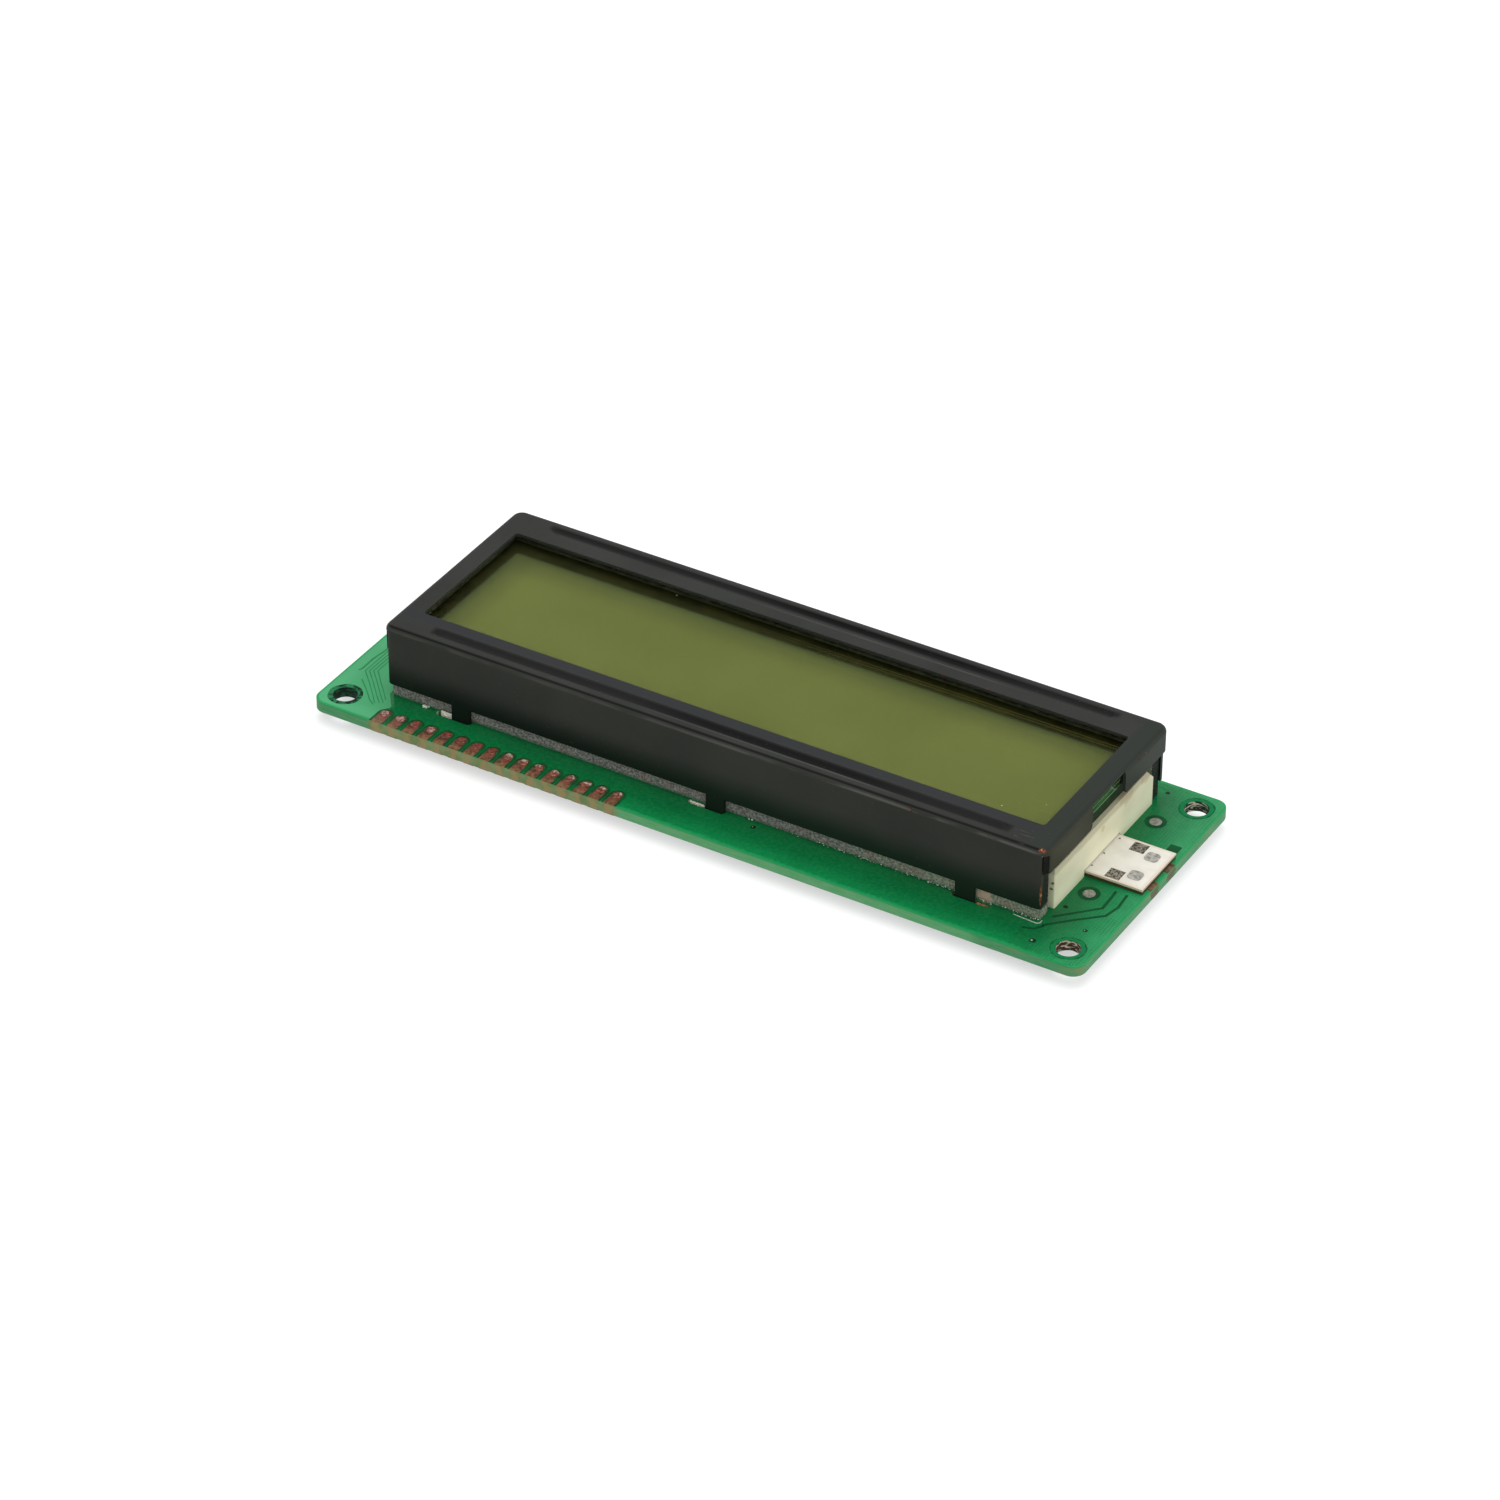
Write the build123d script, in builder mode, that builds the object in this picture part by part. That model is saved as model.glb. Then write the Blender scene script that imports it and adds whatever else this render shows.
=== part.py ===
from build123d import *
from math import cos, radians, sin
import os

# A character LCD module: a folded steel bezel holds the glass cell and its backlight on a circuit board.
# Millimetres, +Z up. The origin is under the middle of the board, on the plane the module rests on.

# Circuit board: how far it reaches past the bezel, and its mounting holes
board_end_margin = 8.4
board_front_margin = 6.25
board_back_margin = 2.45
board_thickness = 1.6
board_corner_radius = 2.0
mount_hole_inset = 3.5
mount_hole_diameter = 3.5
copper_thickness = 0.05

# Connector row along the front edge
pin_count = 16
pin_spacing = 2.54
first_pin_inset = 10.99
pin_row_inset = 2.35
pin_hole_diameter = 1.0
pin_land_width = 1.7

# Bezel: one folded sheet with six tabs
sheet = 0.5
bezel_length = 105.2
bezel_depth = 35.3
bezel_centre_x = -0.2
bezel_bend_radius = 0.9
bezel_corner_radius = 1.6
long_wall_height = 9.5
end_wall_height = 3.85
long_wall_end_inset = 0.83
end_wall_end_inset = 1.1
end_notch_width = 9.4
end_notch_plate_inset = 0.3
end_notch_corner_radius = 0.6
window_end_border = 3.35
window_side_border = 5.65
window_corner_radius = 0.5
window_shift_y = -0.1
groove_end_inset = 6.6
groove_inset = 2.6
groove_radius = 1.6
polarizer_relief = 0.08
ridge_clearance = 0.02

# Tabs, left to right, and the slots that they pass through, each longer on one side
left_tab_inset = 12.75
middle_tab_shift = 1.5
right_tab_inset = 12.2
tab_width = 2.9
tab_drop = 1.8
tab_twist_degrees = 36.0
tab_twist_steps = 4
left_slot_shift = -1.2
middle_slot_shift = -1.35
right_slot_shift = 0.95
slot_length = 5.8
slot_front_clearance = 0.3
slot_back_clearance = 0.4

# Glass cell
glass_thickness = 1.1
glass_end_clearance = 0.5
glass_side_clearance = 0.15
contact_ledge = 2.6
cell_gap = 0.06
seal_inset = 0.4
seal_width = 1.2
fill_plug_length = 5.0
fill_plug_reach = 0.3
polarizer_inset = 0.4
front_polarizer_margin = 0.9
front_polarizer_thickness = 0.2
rear_polarizer_thickness = 0.25

# Backlight
housing_height = 6.55
housing_wall = 1.5
housing_end_gap = 0.2
housing_front_gap = 1.2
housing_back_gap = 0.1
housing_end_chamfer = 2.2
tape_thickness = 1.9
tape_width = 1.8
film_thickness = 0.2
block_clearance = 0.15
led_board_thickness = 0.8
led_board_clearance = 0.25
led_tab_width = 9.8
led_tab_edge_gap = 0.65
led_columns = 14
led_rows = 2
led_end_inset = 4.9
led_side_inset = 6.65
led_size = 1.2
led_height = 0.5
led_pocket_clearance = 0.2
led_pad_length = 2.0
led_pad_width = 2.0
led_pad_rise = 0.12
led_pad_spacing = 4.8
led_pad_end_inset = 2.3

# Conductive rubber strips and the board's fingers under them
strip_thickness = 2.1
strip_wall_gap = 0.25
strip_end_clearance = 0.6
finger_count = 50
finger_end_inset = 2.5
finger_width = 1.2
finger_inset = 0.3

# Lands on the board's upper side
backlight_land_length = 1.7
backlight_land_width = 2.2
fiducial_diameter = 1.75
fiducial_rise = 0.08
fiducial_gap = 2.4
fiducial_spacing = 19.2
fiducial_shift_y = 1.4

# Components under the board
cover_diameter = 15.0
cover_height = 1.35
cover_spacing = 38.0
cover_centre_x = 4.0
cover_centre_y = 2.0
die_length = 4.2
die_width = 3.6
die_height = 0.4
chip_length = 2.0
chip_width = 1.25
resistor_height = 0.5
capacitor_height = 0.9
terminal_length = 0.35
resistor_count = 6
resistor_spacing = 3.2
resistor_row_end_inset = 23.0
resistor_row_y = -8.5
capacitor_count = 3
capacitor_spacing = 6.0
capacitor_column_end_inset = 27.0
capacitor_column_y = 2.0

# Heights, from the resting plane up
board_bottom = tab_drop
board_top = board_bottom + board_thickness
housing_top = board_top + housing_height
rear_polarizer_bottom = housing_top + tape_thickness
rear_glass_bottom = rear_polarizer_bottom + rear_polarizer_thickness
cell_bottom = rear_glass_bottom + glass_thickness
front_glass_bottom = cell_bottom + cell_gap
front_glass_top = front_glass_bottom + glass_thickness
groove_depth = front_polarizer_thickness + polarizer_relief
bezel_top = front_glass_top + ridge_clearance + groove_depth + sheet
long_wall_bottom = bezel_top - long_wall_height
end_wall_bottom = bezel_top - end_wall_height

# Plan of the board and the bezel's openings
board_length = bezel_length + 2 * board_end_margin
board_width = bezel_depth + board_front_margin + board_back_margin
bezel_centre_y = board_width / 2 - board_back_margin - bezel_depth / 2
mount_spacing_x = board_length - 2 * mount_hole_inset
mount_spacing_y = board_width - 2 * mount_hole_inset
pin_row_centre_x = first_pin_inset + (pin_count - 1) * pin_spacing / 2 - board_length / 2
pin_row_y = pin_row_inset - board_width / 2
window_length = bezel_length - 2 * window_end_border
window_depth = bezel_depth - 2 * window_side_border
groove_length = bezel_length - 2 * groove_end_inset

# Plan sizes of what lies inside the bezel
inner_length = bezel_length - 2 * sheet
inner_depth = bezel_depth - 2 * sheet
front_glass_length = inner_length - 2 * glass_end_clearance
front_glass_depth = inner_depth - 2 * glass_side_clearance
rear_glass_depth = front_glass_depth - 2 * contact_ledge
strip_length = inner_length - 2 * strip_end_clearance
strip_offset_y = inner_depth / 2 - strip_wall_gap - strip_thickness / 2
strip_channel = strip_wall_gap + strip_thickness
housing_length = inner_length - 2 * housing_end_gap
housing_depth = inner_depth - 2 * strip_channel - housing_front_gap - housing_back_gap
housing_centre_y = bezel_centre_y + (housing_front_gap - housing_back_gap) / 2
cavity_length = housing_length - 2 * housing_wall
cavity_depth = housing_depth - 2 * housing_wall
led_spacing_x = (cavity_length - 2 * led_end_inset) / (led_columns - 1)
led_spacing_y = (cavity_depth - 2 * led_side_inset) / (led_rows - 1)
finger_spacing = (strip_length - 2 * finger_end_inset) / (finger_count - 1)
housing_right = bezel_centre_x + housing_length / 2

bezel_plane = Plane((bezel_centre_x, bezel_centre_y, 0))
housing_plane = Plane((bezel_centre_x, housing_centre_y, 0))
left_tab_x = left_tab_inset - bezel_length / 2
right_tab_x = bezel_length / 2 - right_tab_inset
tabs_x = (left_tab_x, middle_tab_shift, right_tab_x)
slot_shifts = (left_slot_shift, middle_slot_shift, right_slot_shift)
wall_middle_y = bezel_depth / 2 - sheet / 2
slot_depth = slot_front_clearance + sheet + slot_back_clearance
slot_middle_y = bezel_depth / 2 + slot_front_clearance - slot_depth / 2
tab_places = [(x, side * wall_middle_y) for x in tabs_x for side in (-1, 1)]
slot_places = [(x + shift, side * slot_middle_y) for x, shift in zip(tabs_x, slot_shifts) for side in (-1, 1)]
led_board_bottom = board_top + copper_thickness
led_board_top = led_board_bottom + led_board_thickness


def at_height(plane, height):
    """The plane, raised to a height above the resting plane."""
    return plane.offset(height)


def finish(piece, label):
    """Names a finished piece and writes its STEP file."""
    piece.part.label = label
    export_step(piece.part, f"parts/{label}.step")


os.makedirs("parts", exist_ok=True)

# Circuit board with its mounting holes, pin holes and tab slots
plated_hole_radius = pin_hole_diameter / 2 + copper_thickness
with BuildPart() as circuit_board:
    with BuildSketch(Plane.XY.offset(board_bottom)):
        RectangleRounded(board_length, board_width, board_corner_radius)
        with GridLocations(mount_spacing_x, mount_spacing_y, 2, 2):
            Circle(mount_hole_diameter / 2, mode=Mode.SUBTRACT)
        with Locations((pin_row_centre_x, pin_row_y)):
            with GridLocations(pin_spacing, pin_spacing, pin_count, 1):
                Circle(plated_hole_radius, mode=Mode.SUBTRACT)
        with Locations((bezel_centre_x, bezel_centre_y)):
            with Locations(*slot_places):
                SlotOverall(slot_length, slot_depth, mode=Mode.SUBTRACT)
    extrude(amount=board_thickness)
finish(circuit_board, "circuit_board")

# Connector pads: a land on each side of the board, joined by a plated barrel
pin_land_length = pin_row_inset + pin_land_width / 2
pin_land_centre_y = pin_land_length / 2 - board_width / 2
with BuildPart() as connector_pads:
    for land_height in (board_bottom - copper_thickness, board_top):
        with BuildSketch(Plane.XY.offset(land_height)):
            with Locations((pin_row_centre_x, pin_land_centre_y)):
                with GridLocations(pin_spacing, pin_spacing, pin_count, 1):
                    Rectangle(pin_land_width, pin_land_length)
            with Locations((pin_row_centre_x, pin_row_y)):
                with GridLocations(pin_spacing, pin_spacing, pin_count, 1):
                    Circle(pin_hole_diameter / 2, mode=Mode.SUBTRACT)
        extrude(amount=copper_thickness)
    inner_ends = connector_pads.edges().filter_by(Axis.Z).group_by(Axis.Y)[-1]
    fillet(inner_ends, pin_land_width * 0.45)
    with BuildSketch(Plane.XY.offset(board_bottom)):
        with Locations((pin_row_centre_x, pin_row_y)):
            with GridLocations(pin_spacing, pin_spacing, pin_count, 1):
                Circle(plated_hole_radius)
                Circle(pin_hole_diameter / 2, mode=Mode.SUBTRACT)
    extrude(amount=board_thickness)
finish(connector_pads, "connector_pads")

# Two lands for the backlight supply, at the board's right edge
with BuildPart() as backlight_pads:
    with BuildSketch(Plane.XY.offset(board_top)):
        with Locations(((board_length - backlight_land_length) / 2, bezel_centre_y)):
            with GridLocations(led_pad_spacing, led_pad_spacing, 1, 2):
                Rectangle(backlight_land_length, backlight_land_width)
    extrude(amount=copper_thickness)
finish(backlight_pads, "backlight_pads")

# Two round tinned alignment marks
with BuildPart() as fiducial_marks:
    with BuildSketch(Plane.XY.offset(board_top)):
        with Locations((housing_right + fiducial_gap, bezel_centre_y + fiducial_shift_y)):
            with GridLocations(fiducial_spacing, fiducial_spacing, 1, 2):
                Circle(fiducial_diameter / 2)
    extrude(amount=fiducial_rise)
    fillet(fiducial_marks.edges().group_by(Axis.Z)[-1], fiducial_rise * 0.6)
finish(fiducial_marks, "fiducial_marks")

# Copper fingers under the conductive strips
finger_length = strip_thickness - 2 * finger_inset
with BuildPart() as contact_fingers:
    with BuildSketch(at_height(bezel_plane, board_top)):
        with GridLocations(finger_spacing, 2 * strip_offset_y, finger_count, 2):
            Rectangle(finger_width, finger_length)
    extrude(amount=copper_thickness)
finish(contact_fingers, "contact_fingers")

# Conductive rubber strips, from the fingers up to the front glass's ledges
strip_bottom = board_top + copper_thickness
strip_height = front_glass_bottom - strip_bottom
with BuildPart() as front_contact_strip:
    with BuildSketch(at_height(bezel_plane, strip_bottom)):
        with Locations((0, -strip_offset_y)):
            Rectangle(strip_length, strip_thickness)
    extrude(amount=strip_height)
finish(front_contact_strip, "front_contact_strip")

with BuildPart() as rear_contact_strip:
    with BuildSketch(at_height(bezel_plane, strip_bottom)):
        with Locations((0, strip_offset_y)):
            Rectangle(strip_length, strip_thickness)
    extrude(amount=strip_height)
finish(rear_contact_strip, "rear_contact_strip")

# White backlight housing: a frame on the board, with a gate for the LED board's tab and one
# cut corner at the back of its right end
gate_height = copper_thickness + led_board_thickness + led_board_clearance
housing_back = housing_centre_y + housing_depth / 2
with BuildPart() as backlight_housing:
    with BuildSketch(at_height(housing_plane, board_top)):
        RectangleRounded(housing_length, housing_depth, led_board_clearance)
        Rectangle(cavity_length, cavity_depth, mode=Mode.SUBTRACT)
    extrude(amount=housing_height)
    with BuildSketch(at_height(bezel_plane, board_top)):
        with Locations((housing_length / 2 - housing_wall / 2, 0)):
            Rectangle(2 * housing_wall, led_tab_width + 2 * led_board_clearance)
    extrude(amount=gate_height, mode=Mode.SUBTRACT)
    with BuildSketch(Plane.YZ.offset(housing_right - housing_wall)):
        with BuildLine():
            Polyline(
                (housing_back - housing_end_chamfer, housing_top),
                (housing_back, housing_top),
                (housing_back, housing_top - housing_end_chamfer),
                close=True,
            )
        make_face()
    extrude(amount=housing_wall, mode=Mode.SUBTRACT)
finish(backlight_housing, "backlight_housing")

# LED board: under the whole cavity, with the tab that comes out on the right
led_board_length = cavity_length - 2 * led_board_clearance
led_board_depth = cavity_depth - 2 * led_board_clearance
led_board_right = bezel_centre_x + led_board_length / 2
led_tab_end = board_length / 2 - led_tab_edge_gap
with BuildPart() as led_board:
    with BuildSketch(Plane.XY.offset(led_board_bottom)):
        with Locations((bezel_centre_x, housing_centre_y)):
            Rectangle(led_board_length, led_board_depth)
        with Locations(((led_board_right + led_tab_end) / 2, bezel_centre_y)):
            Rectangle(led_tab_end - led_board_right, led_tab_width)
    extrude(amount=led_board_thickness)
finish(led_board, "led_board")

# Solder lands on the tab
with BuildPart() as led_board_pads:
    with BuildSketch(Plane.XY.offset(led_board_top)):
        with Locations((led_tab_end - led_pad_end_inset, bezel_centre_y)):
            with GridLocations(led_pad_spacing, led_pad_spacing, 1, 2):
                RectangleRounded(led_pad_length, led_pad_width, led_pad_width * 0.3)
    extrude(amount=led_pad_rise)
    fillet(led_board_pads.edges().group_by(Axis.Z)[-1], led_pad_rise * 0.6)
finish(led_board_pads, "led_board_pads")

# LED chips in two rows
with BuildPart() as led_chips:
    with BuildSketch(at_height(housing_plane, led_board_top)):
        with GridLocations(led_spacing_x, led_spacing_y, led_columns, led_rows):
            Rectangle(led_size, led_size)
    extrude(amount=led_height)
finish(led_chips, "led_chips")

# Translucent block over the LEDs, with a pocket for each
film_bottom = housing_top - film_thickness
pocket_size = led_size + 2 * led_pocket_clearance
with BuildPart() as diffuser_block:
    with BuildSketch(at_height(housing_plane, led_board_top)):
        Rectangle(cavity_length - 2 * block_clearance, cavity_depth - 2 * block_clearance)
    extrude(amount=film_bottom - led_board_top)
    with BuildSketch(at_height(housing_plane, led_board_top)):
        with GridLocations(led_spacing_x, led_spacing_y, led_columns, led_rows):
            Rectangle(pocket_size, pocket_size)
    extrude(amount=led_height + led_pocket_clearance, mode=Mode.SUBTRACT)
finish(diffuser_block, "diffuser_block")

with BuildPart() as diffuser_film:
    with BuildSketch(at_height(housing_plane, film_bottom)):
        Rectangle(cavity_length - 2 * block_clearance, cavity_depth - 2 * block_clearance)
    extrude(amount=film_thickness)
finish(diffuser_film, "diffuser_film")

# Foam tape frame between the housing's rim and the glass cell
rear_polarizer_length = front_glass_length - 2 * polarizer_inset
rear_polarizer_depth = rear_glass_depth - 2 * polarizer_inset
with BuildPart() as foam_tape:
    with BuildSketch(at_height(bezel_plane, housing_top)):
        Rectangle(rear_polarizer_length, rear_polarizer_depth)
        Rectangle(
            rear_polarizer_length - 2 * tape_width,
            rear_polarizer_depth - 2 * tape_width,
            mode=Mode.SUBTRACT,
        )
    extrude(amount=tape_thickness)
finish(foam_tape, "foam_tape")

# Glass cell, from the rear polarizer up
with BuildPart() as rear_polarizer:
    with BuildSketch(at_height(bezel_plane, rear_polarizer_bottom)):
        Rectangle(rear_polarizer_length, rear_polarizer_depth)
    extrude(amount=rear_polarizer_thickness)
finish(rear_polarizer, "rear_polarizer")

with BuildPart() as rear_glass:
    with BuildSketch(at_height(bezel_plane, rear_glass_bottom)):
        Rectangle(front_glass_length, rear_glass_depth)
    extrude(amount=glass_thickness)
finish(rear_glass, "rear_glass")

seal_length = front_glass_length - 2 * seal_inset
seal_depth = rear_glass_depth - 2 * seal_inset
with BuildPart() as cell_seal:
    with BuildSketch(at_height(bezel_plane, cell_bottom)):
        Rectangle(seal_length, seal_depth)
        Rectangle(seal_length - 2 * seal_width, seal_depth - 2 * seal_width, mode=Mode.SUBTRACT)
    extrude(amount=cell_gap)
finish(cell_seal, "cell_seal")

with BuildPart() as liquid_crystal:
    with BuildSketch(at_height(bezel_plane, cell_bottom)):
        Rectangle(seal_length - 2 * seal_width, seal_depth - 2 * seal_width)
    extrude(amount=cell_gap)
finish(liquid_crystal, "liquid_crystal")

with BuildPart() as front_glass:
    with BuildSketch(at_height(bezel_plane, front_glass_bottom)):
        Rectangle(front_glass_length, front_glass_depth)
    extrude(amount=glass_thickness)
finish(front_glass, "front_glass")

with BuildPart() as front_polarizer:
    with BuildSketch(at_height(bezel_plane, front_glass_top)):
        with Locations((0, window_shift_y)):
            Rectangle(
                window_length + 2 * front_polarizer_margin,
                window_depth + 2 * front_polarizer_margin,
            )
    extrude(amount=front_polarizer_thickness)
finish(front_polarizer, "front_polarizer")

# Resin plug that closes the cell's filling port, on the left end of the panes
plug_bottom = cell_bottom - glass_thickness / 2
with BuildPart() as fill_plug:
    with BuildSketch(at_height(bezel_plane, plug_bottom)):
        with Locations((-(front_glass_length + fill_plug_reach) / 2, 0)):
            Rectangle(fill_plug_reach, fill_plug_length)
    extrude(amount=glass_thickness + cell_gap)
    fillet(fill_plug.edges().filter_by(Axis.Z).group_by(Axis.X)[0], fill_plug_reach * 0.8)
finish(fill_plug, "fill_plug")

# Bezel: first the bodies that shape its inside, its grooves and its end walls
groove_offset_y = bezel_depth / 2 - groove_inset
groove_axis_z = bezel_top + groove_radius - groove_depth
groove_straight = groove_length - 2 * groove_radius
plate_bottom = bezel_top - sheet
slit_top = bezel_top - bezel_bend_radius
with BuildPart() as tray_core:
    with BuildSketch(at_height(bezel_plane, long_wall_bottom)):
        RectangleRounded(inner_length, inner_depth, bezel_corner_radius - sheet)
    extrude(amount=plate_bottom - long_wall_bottom)
    fillet(tray_core.edges().group_by(Axis.Z)[-1], bezel_bend_radius - sheet)

with BuildPart() as groove_cutters:
    with Locations(at_height(bezel_plane, groove_axis_z)):
        with GridLocations(groove_straight, 2 * groove_offset_y, 1, 2):
            Cylinder(groove_radius, groove_straight, rotation=(0, 90, 0))
        with GridLocations(groove_straight, 2 * groove_offset_y, 2, 2):
            Sphere(groove_radius)

with BuildPart() as groove_backs:
    with Locations(at_height(bezel_plane, groove_axis_z)):
        with GridLocations(groove_straight, 2 * groove_offset_y, 1, 2):
            Cylinder(groove_radius + sheet, groove_straight, rotation=(0, 90, 0))
        with GridLocations(groove_straight, 2 * groove_offset_y, 2, 2):
            Sphere(groove_radius + sheet)
    split(bisect_by=Plane.XY.offset(bezel_top - sheet / 2), keep=Keep.BOTTOM)

end_opening_depth = bezel_depth - 2 * end_wall_end_inset
with BuildPart() as end_opening:
    with BuildSketch(Plane.YZ.offset(bezel_centre_x)) as end_opening_profile:
        with Locations((bezel_centre_y, (long_wall_bottom + end_wall_bottom) / 2)):
            Rectangle(end_opening_depth, end_wall_bottom - long_wall_bottom)
        with Locations((bezel_centre_y, (long_wall_bottom + plate_bottom) / 2)):
            Rectangle(end_notch_width, plate_bottom - long_wall_bottom)
        step_corners = end_opening_profile.vertices().group_by(Axis.Y)[1].sort_by(Axis.X)[1:3]
        fillet(step_corners, end_notch_corner_radius)
    extrude(amount=bezel_length, both=True)

# Bezel: a drawn tray with its window, grooves, slit corners, stepped end walls and tabs
with BuildPart() as bezel:
    with BuildSketch(at_height(bezel_plane, long_wall_bottom)):
        RectangleRounded(bezel_length, bezel_depth, bezel_corner_radius)
    extrude(amount=long_wall_height)
    fillet(bezel.edges().group_by(Axis.Z)[-1], bezel_bend_radius)
    add(tray_core.part, mode=Mode.SUBTRACT)
    add(groove_backs.part)
    add(groove_cutters.part, mode=Mode.SUBTRACT)
    with BuildSketch(at_height(bezel_plane, plate_bottom)):
        with Locations((0, window_shift_y)):
            RectangleRounded(window_length, window_depth, window_corner_radius)
    extrude(amount=sheet, mode=Mode.SUBTRACT)
    add(end_opening.part, mode=Mode.SUBTRACT)
    with BuildSketch(at_height(bezel_plane, end_wall_bottom)):
        with GridLocations(bezel_length, 1, 2, 1):
            Rectangle(2 * end_notch_plate_inset, end_notch_width)
    extrude(amount=end_wall_height, mode=Mode.SUBTRACT)
    with BuildSketch(at_height(bezel_plane, long_wall_bottom)):
        with GridLocations(bezel_length, bezel_depth, 2, 2):
            Rectangle(2 * long_wall_end_inset, 2 * end_wall_end_inset)
    extrude(amount=slit_top - long_wall_bottom, mode=Mode.SUBTRACT)
    for place_x, place_y in tab_places:
        tab_x = bezel_centre_x + place_x
        tab_y = bezel_centre_y + place_y
        with BuildSketch(Plane((tab_x, tab_y, board_bottom))):
            Rectangle(tab_width, sheet)
        extrude(amount=long_wall_bottom - board_bottom + sheet)
        for step in range(tab_twist_steps + 1):
            share = step / tab_twist_steps
            angle = radians(tab_twist_degrees * share)
            section_origin = (tab_x, tab_y, board_bottom - tab_drop * share)
            with BuildSketch(Plane(section_origin, x_dir=(cos(angle), sin(angle), 0))):
                Rectangle(tab_width, sheet)
        loft(ruled=True)
finish(bezel, "bezel")

# Controller and driver: bare dies under the board, each inside a resin cover
cover_radius = cover_diameter / 2
quarter = 90
for chip_name, side in (("controller", -1), ("driver", 1)):
    chip_centre = Vector(cover_centre_x + side * cover_spacing / 2, cover_centre_y, board_bottom)
    with BuildPart() as die:
        with BuildSketch(Plane(chip_centre)):
            Rectangle(die_length, die_width)
        extrude(amount=-die_height)
    finish(die, f"{chip_name}_die")
    with BuildPart() as cover:
        with BuildSketch(Plane(chip_centre, x_dir=(1, 0, 0), z_dir=(0, -1, 0))):
            with BuildLine():
                dome = EllipticalCenterArc((0, 0), cover_radius, cover_height, -quarter, arc_size=quarter)
                Polyline(dome @ 1, (0, 0), dome @ 0)
            make_face()
        revolve(axis=Axis(chip_centre, (0, 0, 1)))
        add(die.part, mode=Mode.SUBTRACT)
    finish(cover, f"{chip_name}_cover")

# Chip resistors in a row and chip capacitors in a column, with their end caps
resistor_row_x = board_length / 2 - resistor_row_end_inset
capacitor_column_x = capacitor_column_end_inset - board_length / 2
resistor_plane = Plane((resistor_row_x, resistor_row_y, board_bottom))
capacitor_plane = Plane((capacitor_column_x, capacitor_column_y, board_bottom))
chip_body_length = chip_length - 2 * terminal_length
cap_spacing = chip_length - terminal_length
with BuildPart() as chip_resistors:
    with BuildSketch(resistor_plane):
        with GridLocations(resistor_spacing, resistor_spacing, resistor_count, 1):
            Rectangle(chip_width, chip_body_length)
    extrude(amount=-resistor_height)
finish(chip_resistors, "chip_resistors")

with BuildPart() as chip_capacitors:
    with BuildSketch(capacitor_plane):
        with GridLocations(capacitor_spacing, capacitor_spacing, 1, capacitor_count):
            Rectangle(chip_width, chip_body_length)
    extrude(amount=-capacitor_height)
finish(chip_capacitors, "chip_capacitors")

with BuildPart() as chip_end_caps:
    with BuildSketch(resistor_plane):
        with GridLocations(resistor_spacing, resistor_spacing, resistor_count, 1):
            with GridLocations(cap_spacing, cap_spacing, 1, 2):
                Rectangle(chip_width, terminal_length)
    extrude(amount=-resistor_height)
    with BuildSketch(capacitor_plane):
        with GridLocations(capacitor_spacing, capacitor_spacing, 1, capacitor_count):
            with GridLocations(cap_spacing, cap_spacing, 1, 2):
                Rectangle(chip_width, terminal_length)
    extrude(amount=-capacitor_height)
finish(chip_end_caps, "chip_end_caps")
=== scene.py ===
import math
import random

import bmesh
import bpy
from mathutils import Matrix, Vector
from mathutils.geometry import tessellate_polygon


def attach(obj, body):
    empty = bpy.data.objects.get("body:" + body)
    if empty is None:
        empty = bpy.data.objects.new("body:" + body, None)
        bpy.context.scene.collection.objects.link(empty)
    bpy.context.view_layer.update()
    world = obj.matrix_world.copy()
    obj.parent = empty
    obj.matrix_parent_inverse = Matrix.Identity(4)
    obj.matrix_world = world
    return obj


# A character LCD module on a pale floor. Lengths are millimetres, colours are sRGB from 0 to 255.
MM = 0.001
BOARD_BOTTOM = 1.8
BOARD_TOP = 3.4
POUR_TOP = 3.43
GAP_TOP = 3.436
SPECK_TOP = 3.445
LED_BOARD_TOP = 4.25
HALF_LENGTH = 61.0
HALF_WIDTH = 22.0
CORNER_RADIUS = 2.0
HOLE_X = 57.5
HOLE_Y = 18.5
HOLE_RADIUS = 1.75
CLEARANCE_RADIUS = 2.5
PIN_START_X = -50.01
PIN_SPACING = 2.54
PIN_COUNT = 16
PIN_Y = -19.65
PAD_HALF_WIDTH = 0.85
PAD_INNER_END = -18.8
PAD_OUTER_END = -21.99
BEZEL_MIDDLE_Y = 1.9
FIDUCIALS = [(54.1, -6.3), (54.1, 12.9)]
WINDOW_X = (-49.45, 49.05)
WINDOW_Y = (-10.2, 13.8)
SHADED_RIM = 0.75
LEFT_SLOT_X = -41.25
GROOVES = (-13.15, 16.95)
GROOVE_X = (-46.2, 45.8)
HOUSING_TOP = 9.95
FILM_TOP = 14.56
SLIT_BOTTOM = 11.31
SLIT_TOP = 14.26


def linear(colour):
    """An sRGB colour, 0 to 255, as Blender's linear colour."""
    values = []
    for part in colour:
        share = part / 255
        if share <= 0.04045:
            values.append(share / 12.92)
        else:
            values.append(((share + 0.055) / 1.055) ** 2.4)
    return (*values, 1.0)


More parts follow.
